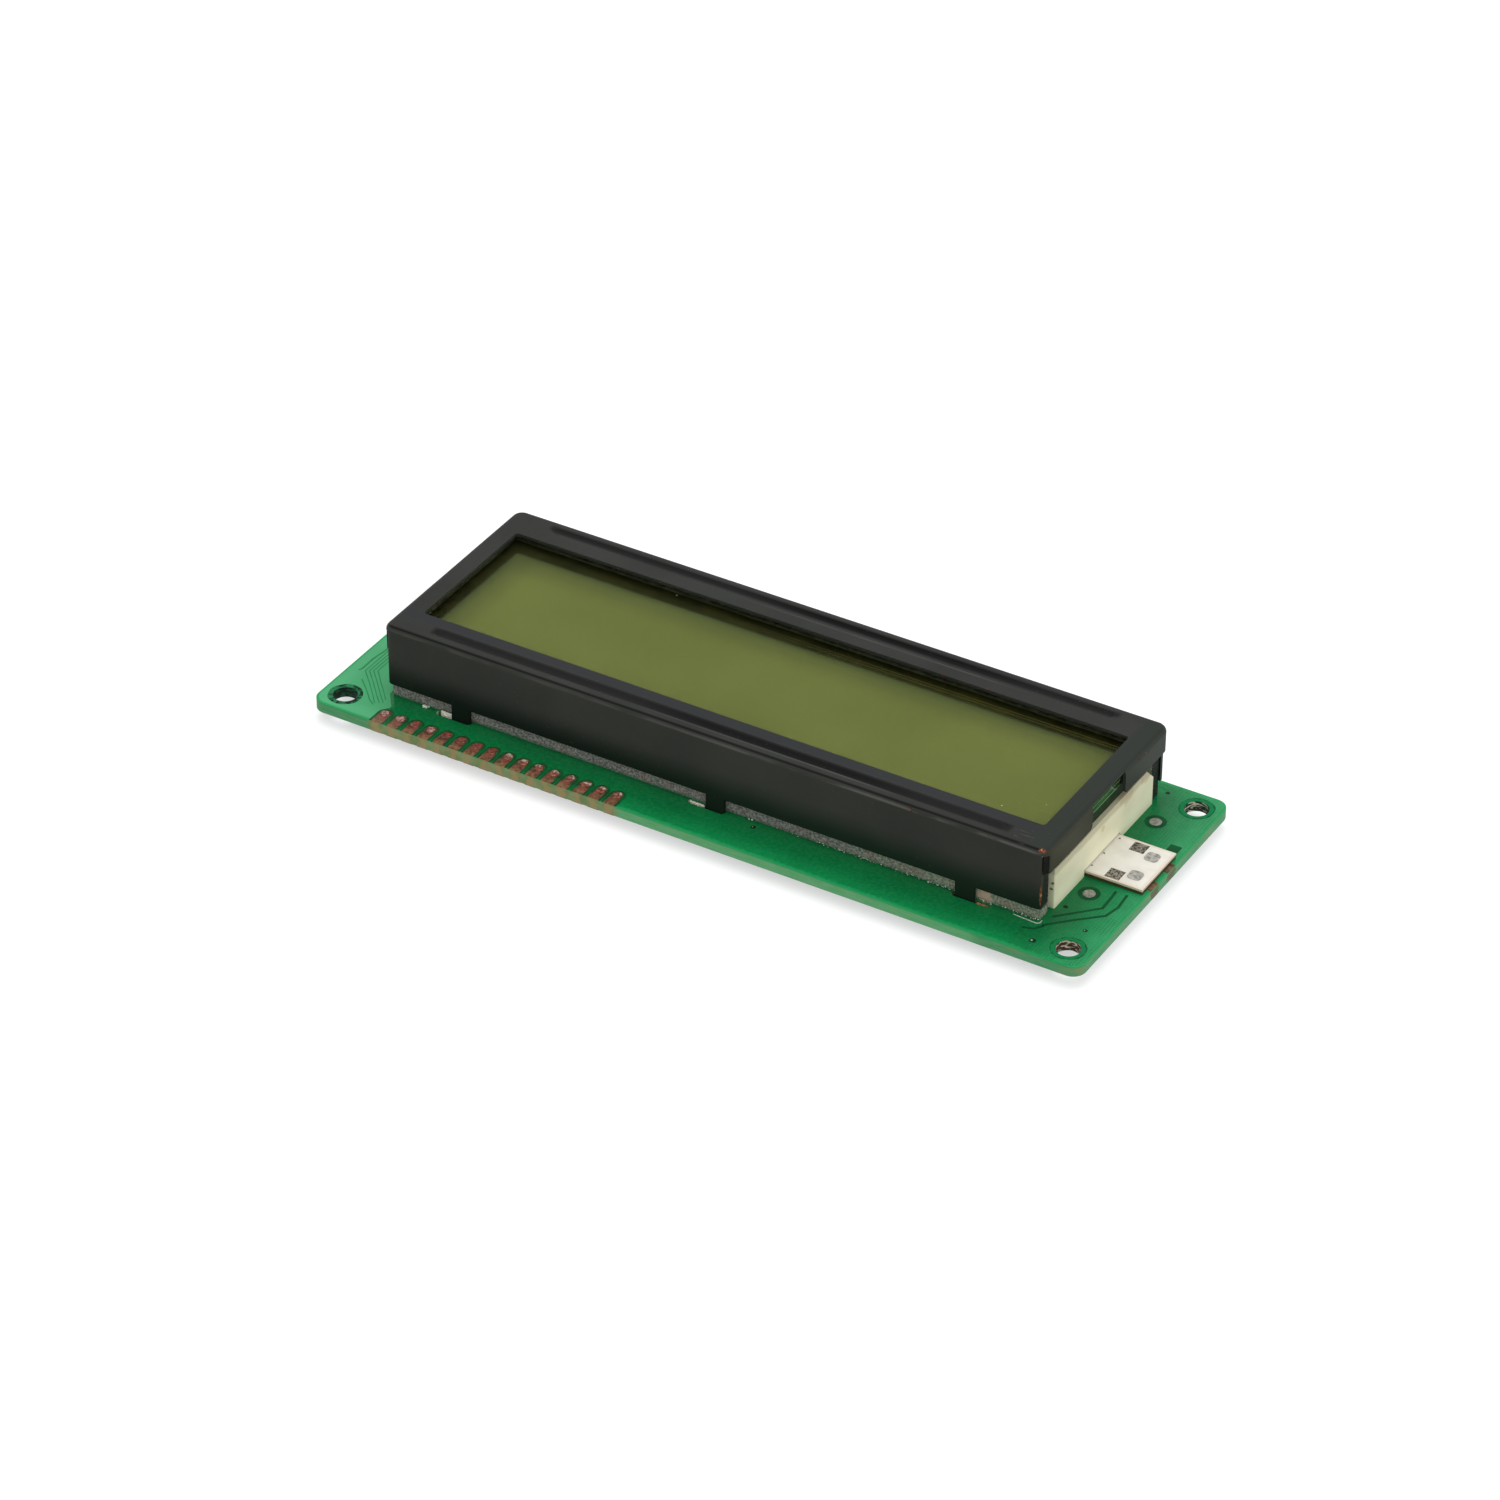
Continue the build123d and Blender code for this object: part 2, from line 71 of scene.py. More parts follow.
class Look:
    """One surface built from shader nodes. Places are read from the object's own coordinates, in mm."""

    def __init__(self, name, roughness=0.5, specular=0.5):
        self.material = bpy.data.materials.new(name)
        self.material.use_nodes = True
        self.tree = self.material.node_tree
        self.shader = self.tree.nodes["Principled BSDF"]
        self.shader.inputs["Roughness"].default_value = roughness
        self.shader.inputs["Specular IOR Level"].default_value = specular
        coordinates = self.tree.nodes.new("ShaderNodeTexCoord")
        self.place = self.vector("SCALE", coordinates.outputs["Object"], scale=1 / MM)
        self.x, self.y, self.z = self.split(self.place)

    def feed(self, socket, value):
        """Links a socket to another, or sets its value."""
        if isinstance(value, bpy.types.NodeSocket):
            self.tree.links.new(value, socket)
        elif value is not None:
            socket.default_value = value

    def split(self, vector):
        node = self.tree.nodes.new("ShaderNodeSeparateXYZ")
        self.feed(node.inputs[0], vector)
        return node.outputs[0], node.outputs[1], node.outputs[2]

    def join(self, x, y, z):
        node = self.tree.nodes.new("ShaderNodeCombineXYZ")
        for socket, value in zip(node.inputs, (x, y, z)):
            self.feed(socket, value)
        return node.outputs[0]

    def vector(self, operation, first, second=None, scale=None):
        node = self.tree.nodes.new("ShaderNodeVectorMath")
        node.operation = operation
        self.feed(node.inputs[0], first)
        self.feed(node.inputs[1], second)
        if scale is not None:
            node.inputs["Scale"].default_value = scale
        return node.outputs["Value"] if operation in ("LENGTH", "DISTANCE") else node.outputs["Vector"]

    def math(self, operation, first, second=None):
        node = self.tree.nodes.new("ShaderNodeMath")
        node.operation = operation
        self.feed(node.inputs[0], first)
        self.feed(node.inputs[1], second)
        return node.outputs[0]

    def noise(self, size, detail=3.0, stretch=(1, 1, 1), distortion=0.0, shift=(0, 0, 0)):
        """Cloudy noise with grains of about that size."""
        place = self.vector("MULTIPLY", self.place, [1 / part for part in stretch])
        place = self.vector("ADD", place, shift)
        node = self.tree.nodes.new("ShaderNodeTexNoise")
        self.feed(node.inputs["Vector"], place)
        node.inputs["Scale"].default_value = 1 / size
        node.inputs["Detail"].default_value = detail
        node.inputs["Distortion"].default_value = distortion
        return node.outputs["Fac"]

    def ramp(self, value, start, end, low=0.0, high=1.0):
        """Runs smoothly from low at start to high at end."""
        node = self.tree.nodes.new("ShaderNodeMapRange")
        node.interpolation_type = "SMOOTHSTEP"
        self.feed(node.inputs["Value"], value)
        node.inputs["From Min"].default_value = min(start, end)
        node.inputs["From Max"].default_value = max(start, end)
        node.inputs["To Min"].default_value = low if start < end else high
        node.inputs["To Max"].default_value = high if start < end else low
        return node.outputs["Result"]

    def band(self, value, start, end, soft):
        """1 between start and end, with soft ends."""
        rise = self.ramp(value, start - soft, start + soft)
        return self.math("MULTIPLY", rise, self.ramp(value, end + soft, end - soft))

    def mix(self, share, first, second):
        """Runs from the first colour to the second."""
        node = self.tree.nodes.new("ShaderNodeMix")
        node.data_type = "RGBA"
        self.feed(node.inputs[0], share)
        for socket, value in ((node.inputs[6], first), (node.inputs[7], second)):
            self.feed(socket, linear(value) if isinstance(value, tuple) else value)
        return node.outputs[2]

    def near(self, points, reach, ragged=0.5, grain=0.5, stretch=(1, 1, 1)):
        """1 close to any of the points, with a ragged edge at about reach."""
        nearest = None
        place = self.vector("MULTIPLY", self.place, [1 / part for part in stretch])
        for point in points:
            gap = self.vector("DISTANCE", place, [value / part for value, part in zip(point, stretch)])
            nearest = gap if nearest is None else self.math("MINIMUM", nearest, gap)
        rough = self.math("MULTIPLY", self.math("SUBTRACT", self.noise(grain, 3), 0.5), ragged * reach * 4)
        return self.ramp(self.math("ADD", nearest, rough), reach * 1.15, reach * 0.75)

    def facing(self, axis):
        """The part of the surface normal along an axis: 0 for x, 1 for y, 2 for z."""
        geometry = self.tree.nodes.new("ShaderNodeNewGeometry")
        return self.split(geometry.outputs["Normal"])[axis]

    def upright(self):
        """1 on faces that look sideways, 0 on level ones."""
        return self.ramp(self.math("ABSOLUTE", self.facing(2)), 0.7, 0.5)

    def colour(self, value):
        self.feed(self.shader.inputs["Base Color"], value)
        return self

    def roughness(self, value):
        self.feed(self.shader.inputs["Roughness"], value)
        return self

    def bump(self, height, depth, strength=1.0):
        """Relief of about that depth, in mm."""
        node = self.tree.nodes.new("ShaderNodeBump")
        node.inputs["Strength"].default_value = strength
        node.inputs["Distance"].default_value = depth * MM
        self.feed(node.inputs["Height"], height)
        self.feed(self.shader.inputs["Normal"], node.outputs["Normal"])
        return self

    def dress(self, *objects):
        for piece in objects:
            piece.data.materials.clear()
            piece.data.materials.append(self.material)


def ripple(waves, angle):
    """How far a ragged ring swells at that angle. A wave is (phase, size)."""
    return sum(size * math.sin((k + 2) * angle + phase) for k, (phase, size) in enumerate(waves))


def circle(x, y, radius, steps=48, wobble=0.0, seed=0):
    """A ring of points, round or slightly ragged."""
    rng = random.Random(seed)
    waves = [(rng.uniform(0, 2 * math.pi), rng.uniform(0.3, 1.0)) for _ in range(6)]
    points = []
    for step in range(steps):
        angle = 2 * math.pi * step / steps
        reach = radius + wobble * ripple(waves, angle) / len(waves)
        points.append((x + reach * math.cos(angle), y + reach * math.sin(angle)))
    return points


def ribbon(points, width):
    """The outline of a line of that width along the points."""
    left = []
    right = []
    for index, (x, y) in enumerate(points):
        before = points[max(index - 1, 0)]
        after = points[min(index + 1, len(points) - 1)]
        first = Vector((x - before[0], y - before[1]))
        second = Vector((after[0] - x, after[1] - y))
        if first.length < 1e-9:
            first = second
        if second.length < 1e-9:
            second = first
        along = (first.normalized() + second.normalized()).normalized()
        side = Vector((-along.y, along.x))
        reach = width / 2 / max(side.dot(Vector((-first.y, first.x)).normalized()), 0.5)
        left.append((x + side.x * reach, y + side.y * reach))
        right.append((x - side.x * reach, y - side.y * reach))
    return left + right[::-1]


def add_loops(mesh, loops, bottom, top):
    """Adds a closed flat plate with that outline, the first loop, and those holes, the others."""
    flat = [[Vector((x, y, 0)) for x, y in loop] for loop in loops]
    lower = []
    upper = []
    for loop in loops:
        for x, y in loop:
            lower.append(mesh.verts.new((x * MM, y * MM, bottom * MM)))
            upper.append(mesh.verts.new((x * MM, y * MM, top * MM)))
    for corners in tessellate_polygon(flat):
        mesh.faces.new([upper[i] for i in corners])
        mesh.faces.new([lower[i] for i in reversed(corners)])
    start = 0
    for loop in loops:
        count = len(loop)
        for i in range(count):
            a = start + i
            b = start + (i + 1) % count
            mesh.faces.new((lower[a], lower[b], upper[b], upper[a]))
        start += count


def make_piece(name, mesh, look, smooth=False):
    """Turns a bmesh into an object that rides on the module."""
    bmesh.ops.recalc_face_normals(mesh, faces=mesh.faces)
    data = bpy.data.meshes.new(name)
    mesh.to_mesh(data)
    mesh.free()
    for face in data.polygons:
        face.use_smooth = smooth
    piece = bpy.data.objects.new(name, data)
    bpy.context.scene.collection.objects.link(piece)
    look.dress(piece)
    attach(piece, "root")
    return piece


def plates(name, shapes, bottom, top, look):
    """One piece made of thin flat plates. A shape is a list of loops: an outline, then its holes."""
    mesh = bmesh.new()
    for loops in shapes:
        add_loops(mesh, loops, bottom, top)
    return make_piece(name, mesh, look)


def crumbs(name, places, look, seed):
    """One piece made of small uneven grains. A place is (x, y, z, width, height)."""
    rng = random.Random(seed)
    mesh = bmesh.new()
    for x, y, z, width, height in places:
        grain = bmesh.ops.create_icosphere(mesh, subdivisions=2, radius=1.0)["verts"]
        turn = Matrix.Rotation(rng.uniform(0, math.pi), 3, "Z")
        stretch = rng.uniform(0.6, 1.0)
        for vertex in grain:
            rough = 1 + rng.uniform(-0.22, 0.22)
            size = Vector((width, width * stretch, height)) * (rough / 2)
            local = Vector((vertex.co.x * size.x, vertex.co.y * size.y, vertex.co.z * size.z))
            vertex.co = (turn @ local + Vector((x, y, z))) * MM
    return make_piece(name, mesh, look, smooth=True)


# Surfaces of the board

def outline_gap(look):
    """The distance inwards from the board's outline, negative inside it."""
    reach = (HALF_LENGTH - CORNER_RADIUS, HALF_WIDTH - CORNER_RADIUS, 1000)
    folded = look.vector("SUBTRACT", look.vector("ABSOLUTE", look.place), reach)
    outside = look.vector("MAXIMUM", folded, (0, 0, 0))
    x, y, _ = look.split(folded)
    inside = look.math("MINIMUM", look.math("MAXIMUM", x, y), 0.0)
    rounded = look.math("SUBTRACT", look.vector("LENGTH", outside), CORNER_RADIUS)
    return look.math("ADD", rounded, inside)


def hole_gap(look):
    """The distance from the axis of the nearest mounting hole."""
    x = look.math("SUBTRACT", look.math("ABSOLUTE", look.x), HOLE_X)
    y = look.math("SUBTRACT", look.math("ABSOLUTE", look.y), HOLE_Y)
    return look.vector("LENGTH", look.join(x, y, 0.0))


def mask_colour(look, deep, light):
    """Green solder mask, lighter along the board's edge."""
    cloud = look.ramp(look.noise(9.0, 4, distortion=0.6), 0.3, 0.7)
    fine = look.ramp(look.noise(0.5, 3), 0.3, 0.75)
    gap = outline_gap(look)
    outer = look.ramp(gap, -3.6, -0.9, 0.0, 0.65)
    colour = look.mix(look.math("ADD", look.math("MULTIPLY", cloud, 0.35), outer), deep, light)
    colour = look.mix(look.math("MULTIPLY", fine, 0.12), colour, (70, 168, 108))
    lip = look.ramp(look.math("ADD", gap, look.math("MULTIPLY", fine, 0.2)), -0.62, -0.1)
    return look.mix(look.math("MULTIPLY", lip, 0.6), colour, (36, 158, 92))


def board_look():
    """Green mask on the faces, stained laminate on the edges and in the holes and slots."""
    look = Look("board_surface", roughness=0.34, specular=0.14)
    mask = mask_colour(look, (7, 102, 52), (10, 122, 65))
    layers = look.noise(0.35, 3, stretch=(9, 9, 0.5))
    patches = look.noise(5.0, 3)
    edge = look.mix(look.ramp(layers, 0.35, 0.65), (66, 142, 90), (92, 152, 108))
    edge = look.mix(look.math("MULTIPLY", look.ramp(patches, 0.54, 0.74), 0.5), edge, (136, 138, 96))
    front = look.ramp(look.y, -21.6, -21.9)
    bright = look.mix(look.ramp(layers, 0.35, 0.65), (88, 162, 106), (106, 170, 120))
    edge = look.mix(look.math("MULTIPLY", front, look.band(look.x, -11.0, 45.0, 1.5)), edge, bright)
    stained = look.math("MULTIPLY", look.band(look.x, -51.4, -10.6, 0.5), front)
    under_pad = look.ramp(look.math("ADD", pin_share(look), look.noise(1.1, 3)), 0.84, 0.56)
    stain = look.mix(look.ramp(look.noise(1.6, 4), 0.35, 0.65), (114, 128, 82), (134, 144, 100))
    stain = look.mix(look.math("MULTIPLY", under_pad, 0.8), stain, (166, 136, 94))
    edge = look.mix(look.math("MULTIPLY", stained, 0.88), edge, stain)
    right = look.ramp(look.x, 60.6, 60.9)
    lands = look.near([(61, 4.3, 2.9), (61, -0.6, 2.9)], 1.3, 0.35, 0.7)
    edge = look.mix(look.math("MULTIPLY", right, look.math("MULTIPLY", lands, 0.75)), edge, (96, 72, 50))
    lip = look.ramp(look.z, BOARD_TOP - 0.42, BOARD_TOP - 0.1)
    lip = look.math("MULTIPLY", lip, look.math("SUBTRACT", 0.8, look.math("MULTIPLY", stained, 0.6)))
    edge = look.mix(lip, edge, (40, 150, 84))
    wall = look.ramp(hole_gap(look), HOLE_RADIUS + 0.3, HOLE_RADIUS + 0.2)
    fleck = look.ramp(look.noise(0.4, 4, stretch=(2.2, 2.2, 0.7)), 0.5, 0.6)
    right_end = look.ramp(look.x, -1, 1)
    bore = look.mix(look.ramp(look.y, -1, 1), (66, 46, 30), (10, 52, 36))
    bore = look.mix(right_end, (8, 34, 22), bore)
    pale = look.mix(right_end, (34, 92, 62), (206, 200, 178))
    edge = look.mix(wall, edge, look.mix(fleck, bore, pale))
    off_middle = look.math("ABSOLUTE", look.math("SUBTRACT", look.y, BEZEL_MIDDLE_Y))
    inner = look.band(off_middle, 17.1, 18.8, 0.1)
    slot_walls = look.math("MULTIPLY", inner, look.ramp(look.math("ABSOLUTE", look.x), 48.0, 47.0))
    cream = look.mix(look.ramp(look.noise(0.8, 3), 0.3, 0.7), (196, 194, 168), (232, 230, 212))
    rusty = look.mix(look.ramp(look.noise(0.7, 4), 0.4, 0.6), (120, 66, 34), (176, 112, 66))
    slots = look.mix(look.ramp(look.x, 36.0, 37.0), cream, rusty)
    edge = look.mix(slot_walls, edge, slots)
    look.colour(look.mix(look.upright(), mask, edge))
    look.roughness(look.mix(look.upright(), (80, 80, 80), (190, 190, 190)))
    weave = look.math("ADD", look.noise(0.7, 2, stretch=(4, 1, 1)), look.noise(0.7, 2, stretch=(1, 4, 1)))
    return look.bump(weave, 0.02, 0.5)


def lines(look, value, spacing, width):
    """1 on thin parallel lines at that spacing."""
    phase = look.math("FRACT", look.math("DIVIDE", value, spacing))
    away = look.math("ABSOLUTE", look.math("SUBTRACT", phase, 0.5))
    return look.ramp(away, 0.5 - width, 0.5)


def plain_pour_look():
    """Solder mask over plain copper."""
    look = Look("left_copper_mask", roughness=0.3, specular=0.16)
    look.colour(mask_colour(look, (56, 150, 96), (72, 162, 110)))
    return look.bump(look.noise(1.2, 3), 0.02, 0.6)


def hatched_pour_look():
    """Solder mask over a fine copper grid, paler towards the board's end, with painted shade darkening it
    near the housing.
    """
    look = Look("right_copper_mask", roughness=0.3, specular=0.16)
    inner = mask_colour(look, (3, 90, 46), (10, 116, 60))
    outer = mask_colour(look, (22, 128, 74), (38, 140, 86))
    # Painted shade: the mask is darker near the housing, paler towards the board's end.
    colour = look.mix(look.ramp(look.math("ADD", look.x, look.noise(4.0, 3)), 51.0, 60.6), inner, outer)
    across = look.math("MAXIMUM", lines(look, look.x, 0.47, 0.2), lines(look, look.y, 0.47, 0.2))
    uneven = look.math("MULTIPLY", across, look.ramp(look.noise(2.2, 3), 0.2, 0.7))
    uneven = look.math("MULTIPLY", uneven, look.ramp(look.x, 50.5, 52.5))
    colour = look.mix(look.math("MULTIPLY", uneven, 0.75), colour, (6, 88, 46))
    look.colour(colour)
    height = look.math("SUBTRACT", look.noise(1.2, 3), look.math("MULTIPLY", across, 0.7))
    return look.bump(height, 0.02, 0.6)


def dull_look(name, deep, light):
    """A dull surface with soft clouds between two colours and a slight relief."""
    look = Look(name, roughness=0.5, specular=0.08)
    look.colour(look.mix(look.ramp(look.noise(1.5, 3), 0.3, 0.7), deep, light))
    return look.bump(look.noise(0.5, 3), 0.015, 0.5)


def hole_rings():
    """Ragged rings around the mounting holes: mixed greens at the left, a dark rim at the right."""
    look = Look("bare_ring", roughness=0.75, specular=0.08)
    rough = look.math("MULTIPLY", look.math("SUBTRACT", look.noise(0.7, 4), 0.5), 0.9)
    gap = look.math("ADD", hole_gap(look), rough)
    line = look.ramp(gap, 2.3, 2.42)
    right = look.mix(look.math("MULTIPLY", line, 0.7), (14, 114, 64), (6, 66, 38))
    patch = look.ramp(look.noise(0.9, 4, shift=(4, 1, 6)), 0.42, 0.58)
    left = look.mix(patch, (14, 44, 30), (42, 114, 74))
    look.colour(look.mix(look.ramp(look.x, -1, 1), left, right))
    look.bump(look.noise(0.4, 3), 0.04, 0.8)
    shapes = []
    for index, (x, y) in enumerate([(-1, -1), (1, -1), (1, 1), (-1, 1)]):
        middle = (x * HOLE_X, y * HOLE_Y)
        outer = circle(*middle, CLEARANCE_RADIUS, 96, wobble=0.18, seed=index)
        shapes.append([outer, circle(*middle, HOLE_RADIUS + 0.04, 48)])
    plates("hole_rings", shapes, POUR_TOP, SPECK_TOP, look)


# The board's copper under the mask

def left_pour():
    """The plain copper field under the mask at the board's left end."""
    outline = [
        (-60.75, -19.9), (-60.45, -20.9), (-59.7, -21.6), (-58.9, -21.75), (-51.15, -21.75),
        (-51.05, -19.1), (-50.35, -18.2), (-50.3, -17.7), (-52.2, -15.2), (-52.35, -14.0),
        (-52.35, 20.6), (-51.2, 21.75), (-58.9, 21.75), (-59.7, 21.6), (-60.45, 20.9), (-60.75, 19.9),
    ]
    holes = [circle(-HOLE_X, side * HOLE_Y, HOLE_RADIUS + 0.06) for side in (-1, 1)]
    plates("left_copper", [[outline, *holes]], BOARD_TOP, POUR_TOP, plain_pour_look())


def right_pour():
    """The fine copper grid under the mask at the board's right end."""
    outline = [
        (49.9, -17.6), (50.1, -21.75), (58.9, -21.75), (59.7, -21.6), (60.45, -20.9), (60.75, -19.9),
        (60.75, 19.9), (60.45, 20.9), (59.7, 21.6), (58.9, 21.75), (50.6, 21.75), (50.6, 20.6),
        (52.3, 20.2), (52.3, -15.6),
    ]
    holes = [circle(HOLE_X, side * HOLE_Y, HOLE_RADIUS + 0.06) for side in (-1, 1)]
    holes += [circle(x, y, 0.95) for x, y in FIDUCIALS]
    plates("right_copper", [[outline, *holes]], BOARD_TOP, POUR_TOP, hatched_pour_look())


def copper_gaps():
    """The lines where the copper is parted, and the clear rings around the alignment marks."""
    left = [
        [(-58.76, 18.0), (-58.76, -6.4), (-59.1, -9.1), (-59.05, -11.8), (-59.25, -12.5)],
        [(-57.6, -14.2), (-55.75, -15.9), (-53.9, -17.8), (-52.8, -18.6)],
        [(-58.35, 16.0), (-58.37, -12.2), (-56.1, -14.5), (-53.95, -16.85), (-52.8, -18.2)],
        [(-57.85, 15.5), (-57.86, -11.9), (-55.87, -13.95), (-53.5, -16.55), (-52.2, -17.85)],
        [(-57.35, 15.0), (-57.35, -11.6), (-55.17, -13.9), (-53.45, -15.8), (-51.8, -17.55)],
        [(-56.85, 14.5), (-56.84, -11.25), (-54.95, -13.4), (-53.25, -15.2), (-51.85, -16.8)],
    ]
    right = [
        [(52.35, -13.4), (54.4, -11.25), (57.2, -8.3), (57.1, -5.6), (56.95, -4.0)],
        [(52.1, -15.75), (55.1, -12.65), (58.35, -9.6), (58.9, -7.1), (58.65, -4.0)],
        [(49.95, -17.5), (51.55, -17.0), (52.35, -15.8)],
    ]
    shapes = [[ribbon(left[0], 0.3)], [ribbon(left[1], 0.2)]]
    shapes += [[ribbon(points, 0.16)] for points in left[2:]]
    look = dull_look("left_gap_mask", (28, 122, 68), (40, 132, 78))
    plates("left_copper_gaps", shapes, POUR_TOP, GAP_TOP, look)
    shapes = [[ribbon(points, 0.42)] for points in right]
    shapes += [[circle(x, y, 1.55), circle(x, y, 0.93)] for x, y in FIDUCIALS]
    shapes += [[[(58.3, 7.9), (60.0, 7.9), (60.0, 9.4), (58.3, 9.4)]]]
    look = dull_look("right_gap_mask", (3, 66, 34), (5, 78, 42))
    plates("right_copper_gaps", shapes, POUR_TOP, GAP_TOP, look)


def vias():
    """Small plated holes: dark spots, some with a lighter middle."""
    places = [(52.63, -19.41, 0.46), (57.57, -13.9, 0.32), (7.8, -16.4, 0.34)]
    places += [(52.82, -10.56, 0.34), (52.4, 19.76, 0.3)]
    rings = [[circle(x, y, radius, 24, wobble=0.12, seed=3)] for x, y, radius in places]
    middles = [[circle(x - radius * 0.3, y, radius * 0.32, 16)] for x, y, radius in places[:3]]
    dark = dull_look("via_ring", (6, 34, 22), (14, 50, 34))
    light = dull_look("via_middle", (120, 134, 110), (176, 188, 160))
    plates("via_rings", rings, BOARD_TOP, SPECK_TOP, dark)
    plates("via_middles", middles, BOARD_TOP, SPECK_TOP + 0.004, light)


def pin_x(index):
    return PIN_START_X + PIN_SPACING * index


def pin_share(look):
    """How far along from the nearest pin, from 0 at the pin to 0.5 midway."""
    row = look.math("DIVIDE", look.math("SUBTRACT", look.x, PIN_START_X), PIN_SPACING)
    return look.math("ABSOLUTE", look.math("SUBTRACT", row, look.math("ROUND", row)))


def pad_outline(x, grow):
    """The outline of a connector land: square at the board's edge, rounded inside."""
    half = PAD_HALF_WIDTH + grow
    inner = PAD_INNER_END + grow
    points = [(x - half, PAD_OUTER_END), (x + half, PAD_OUTER_END)]
    for step in range(9):
        angle = math.pi * step / 8
        points.append((x + half * math.cos(angle), inner - half + half * math.sin(angle)))
    return points


def pad_shadows():
    """The darker margin of mask around each connector land."""
    places = [pin_x(index) for index in range(PIN_COUNT)]
    shapes = [[pad_outline(x, 0.36), circle(x, PIN_Y, 0.56, 24)] for x in places]
    look = dull_look("pad_outline", (26, 62, 32), (10, 90, 46))
    plates("pad_outlines", shapes, BOARD_TOP, POUR_TOP + 0.005, look)


def pads_look():
    """Tarnished copper, with dull solder around some of the bores."""
    look = Look("tarnished_pads", roughness=0.55, specular=0.3)
    patch = look.ramp(look.noise(0.6, 4, distortion=0.5), 0.35, 0.62)
    colour = look.mix(patch, (64, 38, 26), (122, 72, 54))
    rust = look.ramp(look.noise(0.8, 4, shift=(7, 3, 1)), 0.5, 0.62)
    colour = look.mix(look.math("MULTIPLY", rust, 0.6), colour, (132, 64, 46))
    foot = look.ramp(look.math("ADD", look.y, look.noise(0.7, 3)), -20.1, -21.1)
    foot_colour = look.mix(patch, (92, 60, 38), (134, 98, 64))
    colour = look.mix(look.math("MULTIPLY", foot, 0.8), colour, foot_colour)
    right = look.ramp(look.x, 49.0, 51.0)
    right_colour = look.mix(patch, (66, 52, 34), (112, 90, 62))
    colour = look.mix(look.math("MULTIPLY", right, 0.8), colour, right_colour)
    frayed = look.math("MULTIPLY", look.math("SUBTRACT", look.noise(0.55, 3, shift=(1, 9, 4)), 0.5), 0.5)
    slant = look.math("MULTIPLY", look.math("ADD", look.y, 20.4), 0.06)
    side = look.ramp(look.math("ADD", look.math("ADD", pin_share(look), frayed), slant), 0.24, 0.32)
    inner = look.ramp(look.math("ADD", look.y, look.math("MULTIPLY", frayed, 3.0)), -18.95, -18.7)
    row = look.ramp(look.x, -8.0, -9.0)
    margin = look.math("MULTIPLY", look.math("MAXIMUM", side, inner), row)
    under_mask = look.mix(look.ramp(look.noise(0.5, 3), 0.4, 0.6), (20, 50, 28), (10, 92, 48))
    look.colour(look.mix(look.math("MULTIPLY", margin, 0.9), colour, under_mask))
    return look.bump(look.noise(0.3, 3), 0.03, 0.7)


def pad_solder():
    """What is left of the solder: uneven lumps in and around the bores, greyer towards the right, with
    pale spots that are partly a painted glint.
    """
    mesh = bmesh.new()
    rng = random.Random(5)
    for index in range(PIN_COUNT):
        x = pin_x(index)
        steps = 20
        waves = [(rng.uniform(0, 2 * math.pi), rng.uniform(0.02, 0.1)) for _ in range(4)]
        rings = []
        for share, height in ((1.0, 0.004), (0.86, 0.07), (0.62, 0.1), (0.34, 0.05)):
            ring = []
            for step in range(steps):
                angle = 2 * math.pi * step / steps
                rough = ripple(waves, angle)
                reach = share * (0.68 + rough)
                rise = height * (1 + rng.uniform(-0.35, 0.35))
                place_x = x + reach * math.cos(angle)
                place_y = PIN_Y + 1.12 * reach * math.sin(angle)
                place_z = SPECK_TOP + 0.005 + rise
                ring.append(mesh.verts.new((place_x * MM, place_y * MM, place_z * MM)))
            rings.append(ring)
        for outer, inner in zip(rings, rings[1:]):
            for step in range(steps):
                after = (step + 1) % steps
                mesh.faces.new((outer[step], outer[after], inner[after], inner[step]))
        mesh.faces.new(rings[-1])
        mesh.faces.new(rings[0][::-1])
    look = Look("old_solder", roughness=0.42)
    grain = look.ramp(look.noise(0.42, 3, distortion=0.6), 0.36, 0.62)
    left = look.mix(grain, (88, 44, 32), (146, 74, 58))
    # Pale pink spots on a few lumps: pale solder, partly a painted glint.
    pink = look.near([(pin_x(index), PIN_Y, SPECK_TOP) for index in (0, 1, 3)], 0.6, 0.3, 0.5)
    left = look.mix(look.math("MULTIPLY", pink, grain), left, (186, 150, 142))
    right = look.mix(grain, (96, 52, 38), (152, 84, 62))
    # A pale crescent towards the back of each lump at the right: grey tin, partly a painted highlight.
    beside = look.math("SUBTRACT", look.y, look.math("MULTIPLY", look.noise(0.8, 3), 0.8))
    crescent = look.math("MULTIPLY", look.ramp(beside, PIN_Y - 0.42, PIN_Y - 0.18), grain)
    right = look.mix(look.math("MULTIPLY", crescent, 0.9), right, (194, 186, 172))
    look.colour(look.mix(look.ramp(look.x, -31.5, -30.5), left, right))
    look.bump(look.noise(0.25, 3), 0.04, 0.8)
    make_piece("pad_solder", mesh, look, smooth=True)


# The bezel

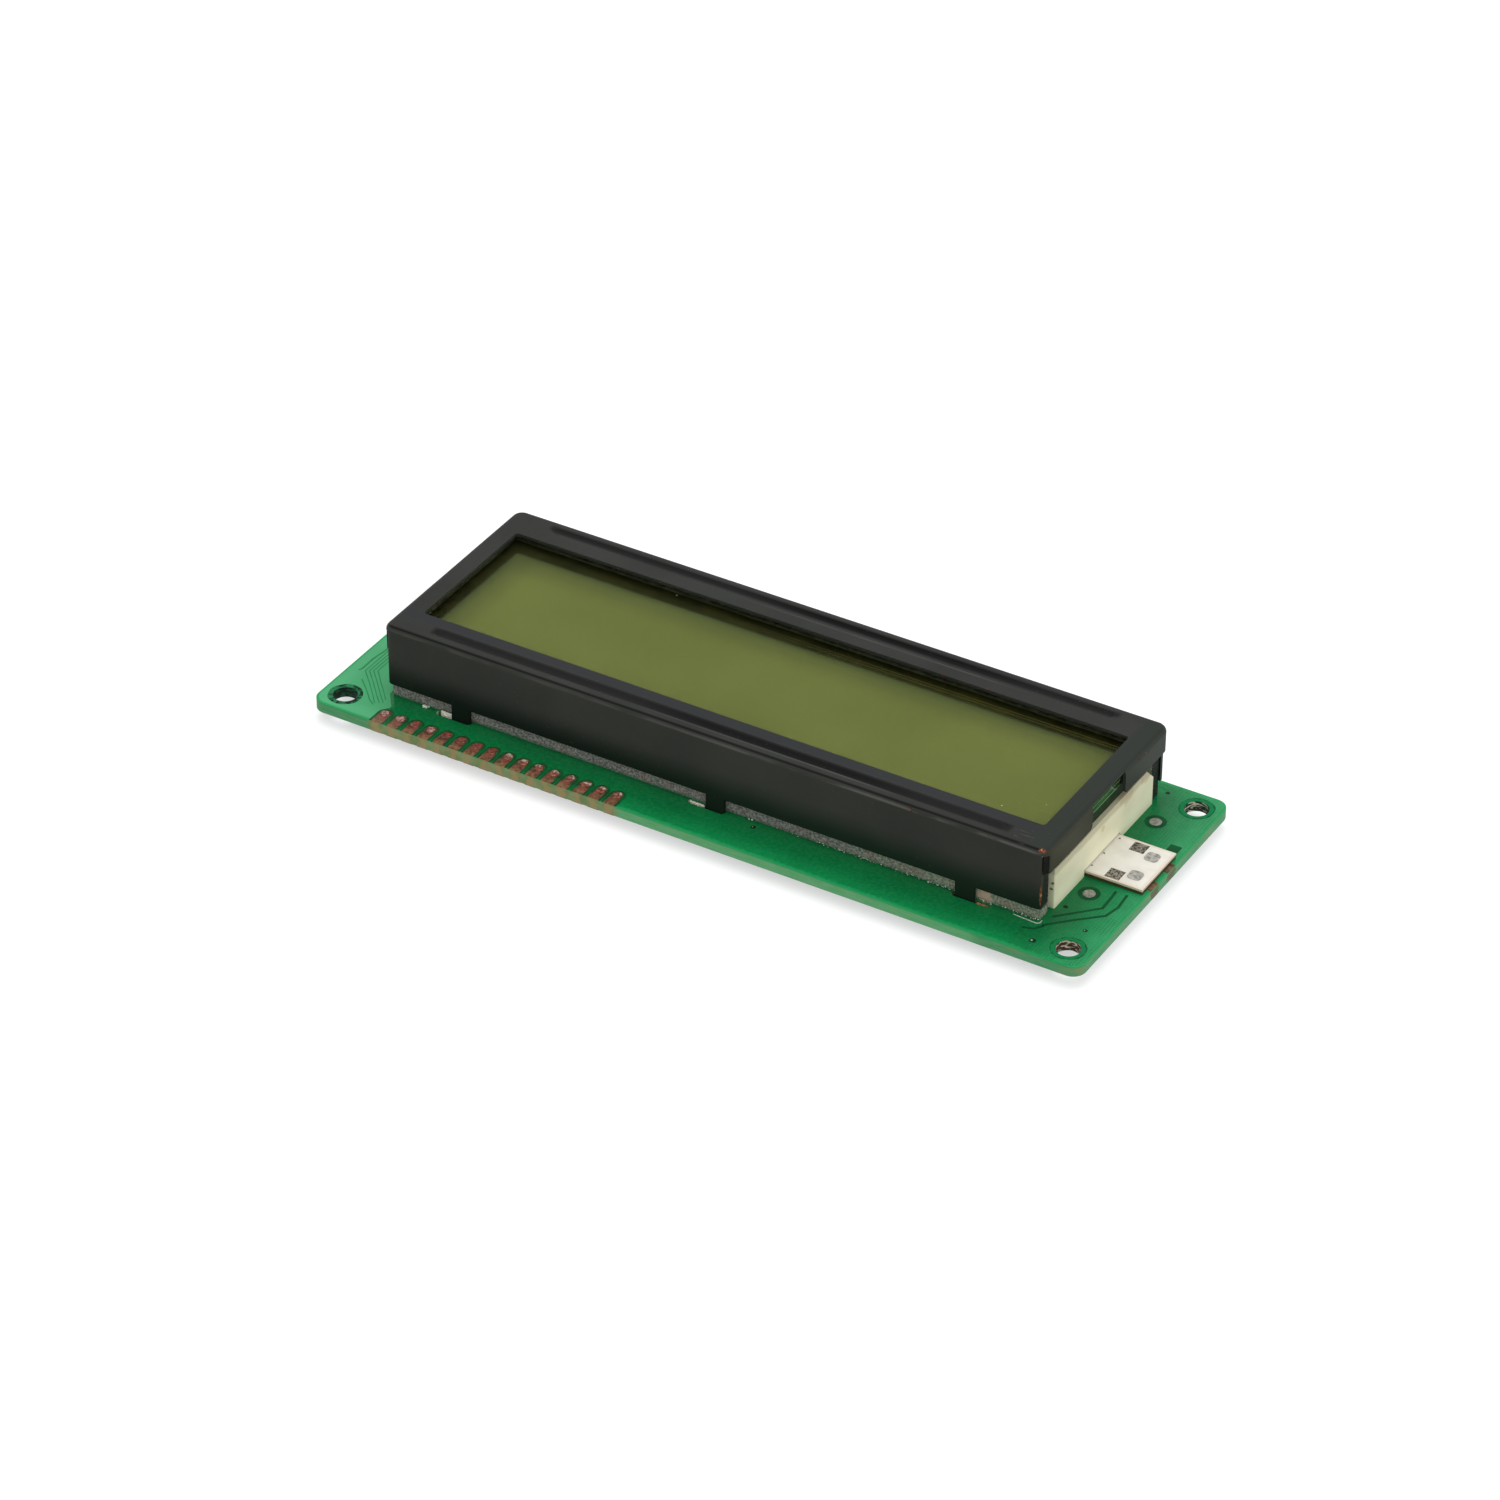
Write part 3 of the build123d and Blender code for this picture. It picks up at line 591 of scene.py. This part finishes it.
def bezel_look():
    """Black satin finish on folded steel, with scuffs and small rust spots at worn edges. Its tones carry
    painted light and shade: a darker top, lighter end faces, a bluish painted reflection near the window's
    front edge, and a painted green reflection and shade low on the walls.
    """
    look = Look("black_steel_finish", roughness=0.4, specular=0.05)
    cloud = look.ramp(look.noise(14.0, 3), 0.3, 0.7)
    colour = look.mix(cloud, (47, 49, 45), (54, 56, 51))
    # Painted shade: the top faces get a darker copy of the black.
    level = look.ramp(look.facing(2), 0.5, 0.9)
    top_face_shade = look.mix(cloud, (43, 44, 42), (51, 52, 50))
    colour = look.mix(look.math("MULTIPLY", level, 0.7), colour, top_face_shade)
    # A bluish painted reflection on the top, between the window and the front groove.
    blue_reflection = look.math("MULTIPLY", look.band(look.y, -12.0, -10.2, 0.6), level)
    colour = look.mix(look.math("MULTIPLY", blue_reflection, 0.7), colour, (43, 45, 49))
    right = look.math("MULTIPLY", look.ramp(look.x, 48.6, 49.6), level)
    colour = look.mix(look.math("MULTIPLY", right, 0.8), colour, (43, 48, 43))
    # Painted light: the end faces get a lighter copy of the black.
    end = look.ramp(look.facing(0), 0.5, 0.9)
    end_face_shading = look.mix(look.ramp(look.y, -8.0, 12.0), (57, 58, 46), (52, 57, 51))
    colour = look.mix(end, colour, end_face_shading)
    # Painted reflection of the green board and painted shade: darker and greener low on the walls.
    low = look.ramp(look.math("ADD", look.z, look.noise(6.0, 2)), 11.2, 6.4)
    reflected_board_green = look.mix(look.ramp(look.x, -30.0, 30.0), (8, 22, 14), (14, 36, 23))
    colour = look.mix(look.math("MULTIPLY", low, 0.85), colour, reflected_board_green)
    colour = groove_shade(look, colour)
    dust = look.ramp(look.noise(0.3, 2), 0.7, 0.78)
    colour = look.mix(look.math("MULTIPLY", dust, 0.35), colour, (96, 98, 96))
    colour = bend_wear_and_highlight(look, colour)
    look.colour(rusted(look, colour))
    look.roughness(look.mix(cloud, (172, 172, 172), (186, 186, 186)))
    return look.bump(look.noise(0.35, 3), 0.012, 0.6)


def groove_shade(look, colour):
    """Painted shade down in the two grooves, and a painted highlight in patches along their front lips."""
    along = look.band(look.x, GROOVE_X[0] + 0.2, GROOVE_X[1] - 0.2, 0.4)
    lip_highlight_patches = look.ramp(look.noise(3.0, 3, stretch=(4, 1, 1)), 0.35, 0.65, 0.4, 1.0)
    deepest = look.band(look.x, -8.0, 28.0, 8.0)
    groove_floor_shade = look.mix(deepest, (24, 24, 24), (7, 7, 7))
    for middle, start, end in ((GROOVES[0], -0.8, 0.85), (GROOVES[1], 0.05, 1.2)):
        floor = look.math("MULTIPLY", look.band(look.y, middle + start, middle + end, 0.38), along)
        lip = look.math("MULTIPLY", look.band(look.y, middle - 1.1, middle - 0.88, 0.14), along)
        lip = look.math("MULTIPLY", look.math("MULTIPLY", lip, lip_highlight_patches), deepest)
        # Painted shade on the groove floor, then the painted highlight on its lip.
        colour = look.mix(look.math("MULTIPLY", floor, 0.97), colour, groove_floor_shade)
        colour = look.mix(look.math("MULTIPLY", lip, 0.85), colour, (80, 81, 77))
    return colour


def bend_wear_and_highlight(look, colour):
    """A painted dark crease line where the top meets the front bend, a thin light line along the bend that
    is partly wear and partly a painted highlight, and scuffs near its right end.
    """
    bend = look.math("MULTIPLY", look.band(look.z, 14.5, 14.8, 0.12), look.ramp(look.y, -15.2, -15.5))
    # Painted shade: a dark crease line where the top turns down into the front wall.
    dark = look.math("MULTIPLY", look.band(look.z, 14.98, 15.14, 0.04), look.ramp(look.y, -14.9, -15.15))
    colour = look.mix(look.math("MULTIPLY", dark, 0.8), colour, (6, 6, 6))
    # The light line along the bend: partly wear, partly a painted highlight.
    patchy = look.ramp(look.noise(1.4, 4, stretch=(5, 1, 1)), 0.42, 0.6)
    right = look.ramp(look.x, -20.0, 20.0, 0.35, 1.0)
    share = look.math("MULTIPLY", look.math("MULTIPLY", bend, patchy), right)
    colour = look.mix(look.math("MULTIPLY", share, 0.7), colour, (92, 92, 87))
    scuffs = look.ramp(look.noise(0.5, 4, stretch=(5, 1, 1), distortion=0.8), 0.56, 0.7)
    worn = look.near([(45.6, -12.9, 15.1), (47.2, -13.6, 15.1), (48.8, -14.4, 15.1)], 1.5, 0.3, 1.2)
    return look.mix(look.math("MULTIPLY", look.math("MULTIPLY", scuffs, worn), 0.4), colour, (84, 84, 78))


def rusted(look, colour):
    """Bright rust at the front right corner and its edge, dull spots elsewhere."""
    places = [(31.7, -15.7, 14.7), (42.0, -15.7, 3.6), (52.4, 10.55, 14.84), (52.4, 12.31, 14.6)]
    dull = look.near(places, 0.3, 0.9, 0.4)
    rim = look.near([(-49.45, -6.9, 15.0), (20.2, 13.8, 15.0), (27.0, 13.8, 15.1)], 0.26, 0.9, 0.4)
    dull = look.math("MAXIMUM", dull, rim)
    dull_colour = look.mix(look.ramp(look.noise(0.4, 3), 0.4, 0.6), (58, 34, 26), (112, 66, 50))
    colour = look.mix(look.math("MULTIPLY", dull, 0.8), colour, dull_colour)
    corner = [(51.2, -15.25, 15.1), (51.7, -15.2, 15.12), (52.15, -15.15, 15.05)]
    bright = look.near(corner, 0.34, 0.8, 0.4)
    streak = look.near([(51.57, -15.5, 7.8)], 0.18, 0.5, 0.4, stretch=(1, 1.4, 10))
    bright = look.math("MAXIMUM", bright, look.math("MULTIPLY", streak, 0.6))
    bright_colour = look.mix(look.ramp(look.noise(0.4, 3), 0.4, 0.6), (104, 44, 24), (196, 122, 80))
    colour = look.mix(look.math("MULTIPLY", bright, 0.85), colour, bright_colour)
    pale = look.near([(51.63, -15.7, 14.4), (51.57, -15.4, 7.9)], 0.17, 0.5, 0.3)
    return look.mix(look.math("MULTIPLY", pale, 0.6), colour, (196, 178, 156))


def corner_slit_shade():
    """Dark plates that close the slits at the bezel's corners: painted shade where the slits would show.
    """
    look = dull_look("corner_slit_painted_shade", (8, 9, 8), (16, 17, 15))
    ends = [(51.74, 52.12), (-52.14, -52.52)]
    shapes = []
    for near_x, far_x in ends:
        for near_y, far_y in ((-15.45, -14.62), (19.25, 18.42)):
            shapes.append([ribbon([(near_x, near_y), (far_x, far_y)], 0.08)])
    plates("corner_slit_shade", shapes, SLIT_BOTTOM, SLIT_TOP, look)


# Strips, housing and LED board

def strip_look():
    """Grey rubber with dust and pale flecks; its end faces are darkened with painted shade over their
    upper and back parts.
    """
    look = Look("dusty_strip", roughness=0.85, specular=0.25)
    grain = look.ramp(look.noise(0.35, 4), 0.3, 0.7)
    colour = look.mix(grain, (84, 84, 80), (146, 146, 140))
    right = look.ramp(look.x, 10.0, 40.0)
    colour = look.mix(right, colour, look.mix(grain, (94, 104, 88), (156, 166, 146)))
    tint = look.ramp(look.noise(1.6, 3, shift=(3, 8, 2)), 0.52, 0.68)
    colour = look.mix(look.math("MULTIPLY", tint, 0.4), colour, (128, 104, 92))
    flecks = look.ramp(look.noise(0.18, 2), 0.64, 0.7)
    colour = look.mix(look.math("MULTIPLY", flecks, 0.7), colour, (190, 192, 186))
    pink = look.near([(42.9, -15.0, 4.2)], 1.2, 0.3, 0.6)
    colour = look.mix(look.math("MULTIPLY", pink, 0.7), colour, (204, 176, 152))
    foot = look.ramp(look.z, 4.0, 3.5)
    colour = look.mix(look.math("MULTIPLY", foot, 0.5), colour, (40, 92, 62))
    # Painted shade: the end faces turn dark where the bezel and the housing shade them.
    end = look.math("MULTIPLY", look.ramp(look.x, 51.15, 51.25), look.ramp(look.facing(0), 0.5, 0.8))
    in_shade = look.math("MAXIMUM", look.ramp(look.z, 4.6, 5.4), look.ramp(look.y, 0.0, 1.0))
    end_face_shading = look.mix(grain, (10, 16, 12), (30, 40, 32))
    colour = look.mix(look.math("MULTIPLY", end, in_shade), colour, end_face_shading)
    look.colour(colour)
    return look.bump(grain, 0.06, 0.8)


def housing_look():
    """Ivory plastic, yellowed and stained in places, with painted light low down and painted shade along
    the top.
    """
    look = Look("ivory_housing", roughness=0.5)
    cloud = look.ramp(look.noise(5.0, 3), 0.3, 0.7)
    colour = look.mix(cloud, (222, 218, 186), (232, 227, 198))
    # Painted light: lighter and greener low down, near the green board.
    low = look.ramp(look.z, 7.4, 5.0)
    colour = look.mix(low, colour, look.mix(cloud, (232, 232, 199), (239, 238, 208)))
    # Painted shade under the bezel along the top edge.
    high = look.ramp(look.math("ADD", look.z, look.math("MULTIPLY", look.noise(3.0, 3), 0.6)), 8.8, 9.5)
    colour = look.mix(look.math("MULTIPLY", high, 0.85), colour, (190, 184, 154))
    stain = look.near([(51.7, 1.83, 8.24)], 0.5, 0.3, 0.9)
    colour = look.mix(look.math("MULTIPLY", stain, 0.5), colour, (196, 170, 104))
    # Painted shade: brownish soft patches along the top at the back end.
    brown_top_shade = look.near([(51.4, 8.6, HOUSING_TOP), (51.6, 14.4, HOUSING_TOP)], 1.9, 0.3, 1.6)
    colour = look.mix(look.math("MULTIPLY", brown_top_shade, 0.4), colour, (176, 148, 118))
    specks = look.near(
        [(51.32, -11.7, 7.44), (51.17, -11.7, 6.51), (51.7, 2.2, 4.3), (51.7, -1.4, 4.3)],
        0.2, 0.8, 0.2,
    )
    colour = look.mix(look.math("MULTIPLY", specks, 0.85), colour, (48, 46, 36))
    foot = look.ramp(look.z, 4.6, 3.4)
    colour = look.mix(look.math("MULTIPLY", foot, 0.2), colour, (150, 142, 108))
    look.colour(colour)
    return look.bump(look.noise(0.8, 3), 0.02, 0.4)


def led_board_look():
    """White mask over laminate, with a thin brown layer along its edges and painted shadow on their lower
    part.
    """
    look = Look("white_led_board", roughness=0.32)
    cloud = look.ramp(look.noise(3.0, 3), 0.3, 0.7)
    face = look.mix(cloud, (220, 215, 204), (232, 228, 218))
    off_middle = look.math("ABSOLUTE", look.math("SUBTRACT", look.y, BEZEL_MIDDLE_Y))
    rim = look.ramp(off_middle, 4.45, 4.6)
    rim = look.math("MAXIMUM", rim, look.ramp(look.x, 59.85, 60.05))
    face = look.mix(look.math("MULTIPLY", rim, 0.5), face, (214, 194, 176))
    spots = [(52.2, 5.9, LED_BOARD_TOP), (51.96, 1.87, LED_BOARD_TOP), (51.9, -1.39, LED_BOARD_TOP)]
    specks = look.near(spots, 0.17, 0.7, 0.2)
    face = look.mix(look.math("MULTIPLY", specks, 0.9), face, (52, 46, 36))
    # The lower part of the edges is painted dark: a thin brown layer and painted shadow.
    layer = look.ramp(look.math("ADD", look.z, look.math("MULTIPLY", look.noise(0.8, 3), 0.1)), 3.92, 4.02)
    side = look.mix(layer, (62, 54, 32), (216, 200, 178))
    look.colour(look.mix(look.upright(), face, side))
    return look.bump(look.noise(0.9, 2), 0.01, 0.3)


def solder_look():
    """Dull solder, darker on the board than on the LED board."""
    look = Look("dull_solder", roughness=0.42)
    patch = look.ramp(look.noise(0.5, 3, distortion=0.4), 0.35, 0.65)
    colour = look.mix(patch, (136, 134, 128), (184, 182, 174))
    on_board = look.math("MULTIPLY", look.ramp(look.z, 3.9, 3.6), 0.8)
    colour = look.mix(on_board, colour, look.mix(patch, (116, 114, 102), (148, 146, 134)))
    look.colour(colour)
    look.shader.inputs["Metallic"].default_value = 0.45
    return look.bump(look.noise(0.4, 3), 0.03, 0.6)


def led_tab_squares():
    """Two dark rough squares beside the solder lands."""
    look = Look("dark_square", roughness=0.5)
    cell = look.ramp(look.noise(0.5, 2, distortion=1.5), 0.44, 0.56)
    look.colour(look.mix(cell, (40, 38, 30), (140, 134, 118)))
    look.bump(cell, 0.02, 0.6)
    shapes = []
    for low, high in ((-2.7, -0.55), (4.35, 6.4)):
        shapes.append([[(54.4, low), (56.6, low), (56.6, high), (54.4, high)]])
    plates("led_tab_squares", shapes, LED_BOARD_TOP, LED_BOARD_TOP + 0.012, look)


# The glass cell

def window_share(look, soft):
    """1 inside the bezel's window, 0 under its rim."""
    across = look.band(look.x, WINDOW_X[0] + SHADED_RIM, WINDOW_X[1] - SHADED_RIM, soft)
    along = look.band(look.y, WINDOW_Y[0] + SHADED_RIM, WINDOW_Y[1] - SHADED_RIM, soft)
    return look.math("MULTIPLY", across, along)


def fade(look, value, edge, turn):
    """Runs from 0 at the shaded rim to 1 in the open field: steep at first, then slow."""
    steep = look.ramp(value, edge + 0.35 * turn, edge + 2.3 * turn)
    slow = look.ramp(value, edge + 1.2 * turn, edge + 6.4 * turn)
    return look.math("ADD", look.math("MULTIPLY", steep, 0.45), look.math("MULTIPLY", slow, 0.55))


def screen_colour(look):
    """Yellow-green, with a dark olive rim at the back and the left which fades into the field: painted
    shade of the bezel on the cell.
    """
    cloud = look.ramp(look.noise(16.0, 3), 0.3, 0.7)
    field = look.mix(cloud, (93, 101, 47), (99, 107, 51))
    # Painted shade fading in from the back and the left rim.
    back = fade(look, look.y, WINDOW_Y[1] - 1.4, -1)
    left = fade(look, look.x, WINDOW_X[0] + 0.75, 1)
    field = look.mix(look.math("MULTIPLY", back, left), (66, 74, 42), field)
    # Painted shade just inside the window's rim.
    field = look.mix(window_share(look, 1.2), (66, 78, 44), field)
    # The dark olive rim under the bezel is painted shade.
    rim = look.mix(look.ramp(look.noise(5.0, 3), 0.3, 0.7), (26, 28, 8), (38, 39, 12))
    shown = look.ramp(look.x, -20.0, 30.0, 0.15, 0.9)
    for place, width in ((13.3, 0.07), (12.75, 0.05)):
        line = look.math("MULTIPLY", look.band(look.y, place - width, place + width, 0.06), shown)
        rim = look.mix(line, rim, (84, 82, 32))
    inside = look.ramp(look.y, WINDOW_Y[1] - 1.6, WINDOW_Y[1] - 2.3)
    inside = look.math("MULTIPLY", inside, look.ramp(look.x, WINDOW_X[0] + 1.0, WINDOW_X[0] + 1.6))
    inside = look.math("MULTIPLY", inside, window_share(look, 0.16))
    return look.mix(inside, rim, field)


def screen_look(name):
    """A yellow-green layer of the cell."""
    look = Look(name, roughness=0.5, specular=0.08)
    return look.colour(screen_colour(look))


def front_film_look():
    """The film on top, almost clear."""
    look = screen_look("front_film_surface")
    look.shader.inputs["Alpha"].default_value = 0.02
    return look


def glass_look():
    """Clear glass with dark green sides and a pale line where the two sheets meet."""
    look = Look("cell_glass_surface", roughness=0.12)
    streaks = look.ramp(look.noise(1.2, 3, stretch=(1, 4, 1)), 0.35, 0.65)
    side = look.mix(streaks, (28, 50, 26), (56, 84, 46))
    upper = look.band(look.z, 13.1, 13.28, 0.05)
    pale = look.math("MAXIMUM", upper, look.band(look.z, 12.22, 12.36, 0.05))
    patchy = look.ramp(look.noise(1.6, 3, stretch=(1, 3, 1)), 0.3, 0.6, 0.35, 1.0)
    side = look.mix(look.math("MULTIPLY", pale, patchy), side, (122, 142, 106))
    look.colour(look.mix(look.upright(), screen_colour(look), side))
    look.feed(look.shader.inputs["Alpha"], look.ramp(look.upright(), 0.3, 0.7, 0.0, 1.0))
    return look.bump(look.noise(1.5, 2), 0.01, 0.2)


def plain_look(name, first, second, grain, roughness):
    """A simple surface with small clouds and a slight relief."""
    look = Look(name, roughness=roughness)
    look.colour(look.mix(look.ramp(look.noise(grain, 3), 0.3, 0.7), first, second))
    return look.bump(look.noise(grain * 0.5, 3), 0.02, 0.5)


# Small dirt

def strip_residue():
    """White crumbs and a thin dried line at the foot of the front strip."""
    rng = random.Random(11)
    places = []
    for _ in range(130):
        x = 8 + 43.2 * rng.random() ** 0.6
        y = -15.08 - rng.uniform(0.0, 0.16)
        rise = 0.03 + rng.uniform(0, 0.3)
        size = rng.uniform(0.06, 0.24)
        places.append((x, y, BOARD_TOP + rise, size, size * 0.6))
    for x in (-46.4, -46.1, -45.7, 6.4, 6.9):
        places.append((x, -15.15, BOARD_TOP + 0.12, 0.34, 0.2))
    look = plain_look("residue", (176, 184, 172), (214, 220, 208), 0.2, 0.7)
    crumbs("strip_residue", places, look, 12)
    points = [(47.6, -15.56), (49.3, -15.68), (51.2, -15.78), (51.6, -15.5), (51.6, -14.9)]
    plates("residue_line", [[ribbon(points, 0.1)]], BOARD_TOP, SPECK_TOP + 0.02, look)


def slot_residue():
    """Dried paste at the back of the slots: cream beside two tabs, rusty beside the third."""
    rng = random.Random(21)
    spacing = 0.16
    spans = {
        "cream": [(-43.4, -41.7, 3.0, 3.85), (-46.5, -45.9, 3.3, 3.6), (-2.8, -0.6, 3.0, 3.3)],
        "rusty": [(42.0, 43.6, 2.9, 3.1)],
    }
    cream = plain_look("slot_cream", (214, 214, 196), (236, 234, 220), 0.5, 0.7)
    rusty = plain_look("slot_rust", (150, 78, 34), (206, 150, 96), 0.5, 0.7)
    for name, look in (("cream", cream), ("rusty", rusty)):
        places = []
        for start, end, bottom, top in spans[name]:
            rows = max(round((top - bottom) / spacing), 1)
            columns = round((end - start) / spacing)
            for row in range(rows):
                for column in range(columns):
                    x = start + spacing * (column + rng.uniform(0.3, 0.7))
                    z = bottom + spacing * (row + rng.uniform(0.3, 0.7))
                    places.append((x, -15.42, z, rng.uniform(0.3, 0.38), 0.34))
        crumbs("slot_paste_" + name, places, look, 22)


def window_dust():
    """A few pale specks on the screen."""
    rng = random.Random(31)
    spots = [(-22.0, 12.6, 0.24), (41.6, -8.4, 0.2), (46.6, -5.2, 0.16)]
    for _ in range(14):
        spots.append((48.5 - 40 * rng.random() ** 2, rng.uniform(-9.6, 4.0), rng.uniform(0.08, 0.14)))
    places = [(x, y, FILM_TOP + 0.01, size, 0.05) for x, y, size in spots]
    look = plain_look("screen_dust", (168, 174, 116), (196, 200, 150), 0.2, 0.7)
    crumbs("window_dust", places, look, 32)


# Under the board

def underside():
    """Tracks under the board: from the connector row to the first die, and on to the second."""
    look = dull_look("under_track_mask", (20, 120, 66), (34, 136, 78))
    shapes = []
    for index in range(PIN_COUNT):
        x = pin_x(index)
        turn = -30.0 + 0.9 * index
        points = [(x, -18.6), (x, -13.5), (turn, -8.0), (turn + 3, 2.0)]
        if abs(x - LEFT_SLOT_X) < 3.3:
            points = [(x, -18.6), (x, -17.4)]
        shapes.append([ribbon(points, 0.16)])
    for index in range(24):
        y = -9.0 + 0.9 * index
        near_die = 2.0 + (y - 2.0) * 0.35
        shapes.append([ribbon([(-8.0, near_die), (-4.0, y), (12.0, y), (16.0, near_die)], 0.13)])
    plates("under_tracks", shapes, BOARD_BOTTOM - 0.03, BOARD_BOTTOM, look)


def dress_nodes(nodes):
    """Gives every CAD node its surface."""
    board_look().dress(nodes["circuit_board"])
    pads_look().dress(nodes["connector_pads"], nodes["backlight_pads"])
    solder_look().dress(nodes["fiducial_marks"], nodes["led_board_pads"], nodes["chip_end_caps"])
    strip_look().dress(nodes["front_contact_strip"], nodes["rear_contact_strip"])
    housing_look().dress(nodes["backlight_housing"])
    led_board_look().dress(nodes["led_board"])
    bezel_look().dress(nodes["bezel"])
    screen_look("rear_film_surface").dress(nodes["rear_polarizer"])
    screen_look("cell_fluid_surface").dress(nodes["liquid_crystal"])
    # The foam tape's dark green is painted shade and reflection in the gap under the glass.
    dull_look("foam_surface", (22, 40, 23), (34, 56, 33)).dress(nodes["foam_tape"])
    glass_look().dress(nodes["front_glass"], nodes["rear_glass"])
    front_film_look().dress(nodes["front_polarizer"])
    plain = {
        "contact_fingers": ((176, 138, 70), (206, 170, 96), 0.8, 0.35),
        "led_chips": ((206, 186, 96), (228, 214, 140), 0.6, 0.3),
        "diffuser_block": ((212, 216, 208), (226, 228, 222), 4.0, 0.5),
        "diffuser_film": ((214, 218, 208), (228, 230, 222), 4.0, 0.6),
        "cell_seal": ((70, 76, 54), (88, 94, 68), 1.0, 0.5),
        "fill_plug": ((186, 180, 150), (206, 200, 172), 1.0, 0.3),
        "controller_die": ((48, 50, 56), (62, 64, 70), 1.0, 0.3),
        "driver_die": ((48, 50, 56), (62, 64, 70), 1.0, 0.3),
        "controller_cover": ((16, 16, 17), (28, 28, 29), 3.0, 0.3),
        "driver_cover": ((16, 16, 17), (28, 28, 29), 3.0, 0.3),
        "chip_resistors": ((22, 22, 24), (34, 34, 36), 0.6, 0.35),
        "chip_capacitors": ((140, 112, 78), (164, 134, 98), 0.6, 0.5),
    }
    for name, (first, second, grain, roughness) in plain.items():
        plain_look(name + "_surface", first, second, grain, roughness).dress(nodes[name])


# Floor, light and camera

def floor_and_world():
    mesh = bmesh.new()
    bmesh.ops.create_grid(mesh, x_segments=1, y_segments=1, size=3.0)
    data = bpy.data.meshes.new("floor")
    mesh.to_mesh(data)
    mesh.free()
    floor = bpy.data.objects.new("floor", data)
    bpy.context.scene.collection.objects.link(floor)
    look = Look("floor_surface", roughness=0.9, specular=0.0)
    look.colour(look.mix(look.noise(400.0, 2), (186, 186, 186), (192, 192, 192)))
    tree = look.tree
    path = tree.nodes.new("ShaderNodeLightPath")
    seen = look.math("MAXIMUM", path.outputs["Is Camera Ray"], path.outputs["Is Glossy Ray"])
    seen = look.math("MAXIMUM", seen, path.outputs["Is Transmission Ray"])
    look.shader.inputs["Emission Color"].default_value = (1, 1, 1, 1)
    look.feed(look.shader.inputs["Emission Strength"], look.math("MULTIPLY", seen, 0.56))
    look.dress(floor)

    world = bpy.data.worlds.new("studio")
    world.use_nodes = True
    bpy.context.scene.world = world
    tree = world.node_tree
    background = tree.nodes["Background"]
    path = tree.nodes.new("ShaderNodeLightPath")
    first = tree.nodes.new("ShaderNodeMath")
    first.operation = "MAXIMUM"
    second = tree.nodes.new("ShaderNodeMath")
    second.operation = "MAXIMUM"
    strength = tree.nodes.new("ShaderNodeMapRange")
    strength.inputs["To Min"].default_value = 0.85
    strength.inputs["To Max"].default_value = 1.0
    tree.links.new(path.outputs["Is Camera Ray"], first.inputs[0])
    tree.links.new(path.outputs["Is Glossy Ray"], first.inputs[1])
    tree.links.new(first.outputs[0], second.inputs[0])
    tree.links.new(path.outputs["Is Transmission Ray"], second.inputs[1])
    tree.links.new(second.outputs[0], strength.inputs["Value"])
    tree.links.new(strength.outputs["Result"], background.inputs["Strength"])
    background.inputs["Color"].default_value = (1, 1, 1, 1)


def lamp(name, place, size, power):
    """A soft square lamp that looks at the module."""
    data = bpy.data.lights.new(name, "AREA")
    data.size = size
    data.energy = power
    piece = bpy.data.objects.new(name, data)
    piece.location = place
    piece.rotation_euler = (Vector((0, 0, 0)) - Vector(place)).to_track_quat("-Z", "Y").to_euler()
    bpy.context.scene.collection.objects.link(piece)


def camera():
    """A long lens, set as in the photograph."""
    azimuth = math.radians(30.669)
    elevation = math.radians(34.990)
    roll = math.radians(0.226)
    distance = 817.3
    slide = (2.122, -1.436)
    sensor = 36.0
    focal_share = 5900.0 / 1500
    level = Vector((math.cos(azimuth), math.sin(azimuth), 0))
    back = Vector((
        math.sin(azimuth) * math.cos(elevation),
        -math.cos(azimuth) * math.cos(elevation),
        math.sin(elevation),
    ))
    over = back.cross(level)
    right = level * math.cos(roll) + over * math.sin(roll)
    up = over * math.cos(roll) - level * math.sin(roll)
    place = back * distance - right * slide[0] - up * slide[1] + Vector((0, 0, BOARD_BOTTOM))
    data = bpy.data.cameras.new("camera")
    data.sensor_width = sensor
    data.lens = sensor * focal_share
    piece = bpy.data.objects.new("camera", data)
    turn = Matrix((right, up, back)).transposed().to_4x4()
    piece.matrix_world = Matrix.Translation(place * MM) @ turn
    bpy.context.scene.collection.objects.link(piece)
    bpy.context.scene.camera = piece


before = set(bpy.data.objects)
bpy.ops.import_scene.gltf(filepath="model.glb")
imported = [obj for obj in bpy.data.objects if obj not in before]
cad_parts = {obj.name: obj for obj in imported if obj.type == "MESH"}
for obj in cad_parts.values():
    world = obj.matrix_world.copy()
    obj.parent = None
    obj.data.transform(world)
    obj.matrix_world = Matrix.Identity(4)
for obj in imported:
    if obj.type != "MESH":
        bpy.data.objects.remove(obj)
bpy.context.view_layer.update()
dress_nodes(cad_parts)
left_pour()
right_pour()
copper_gaps()
vias()
hole_rings()
pad_shadows()
pad_solder()
led_tab_squares()
corner_slit_shade()
strip_residue()
slot_residue()
window_dust()
underside()
floor_and_world()
lamp("key", (-0.15, 0.3, 1.3), 0.9, 6.5)
lamp("fill", (1.0, -0.25, 0.7), 0.8, 2.6)
camera()
bpy.context.scene.view_settings.view_transform = "Standard"
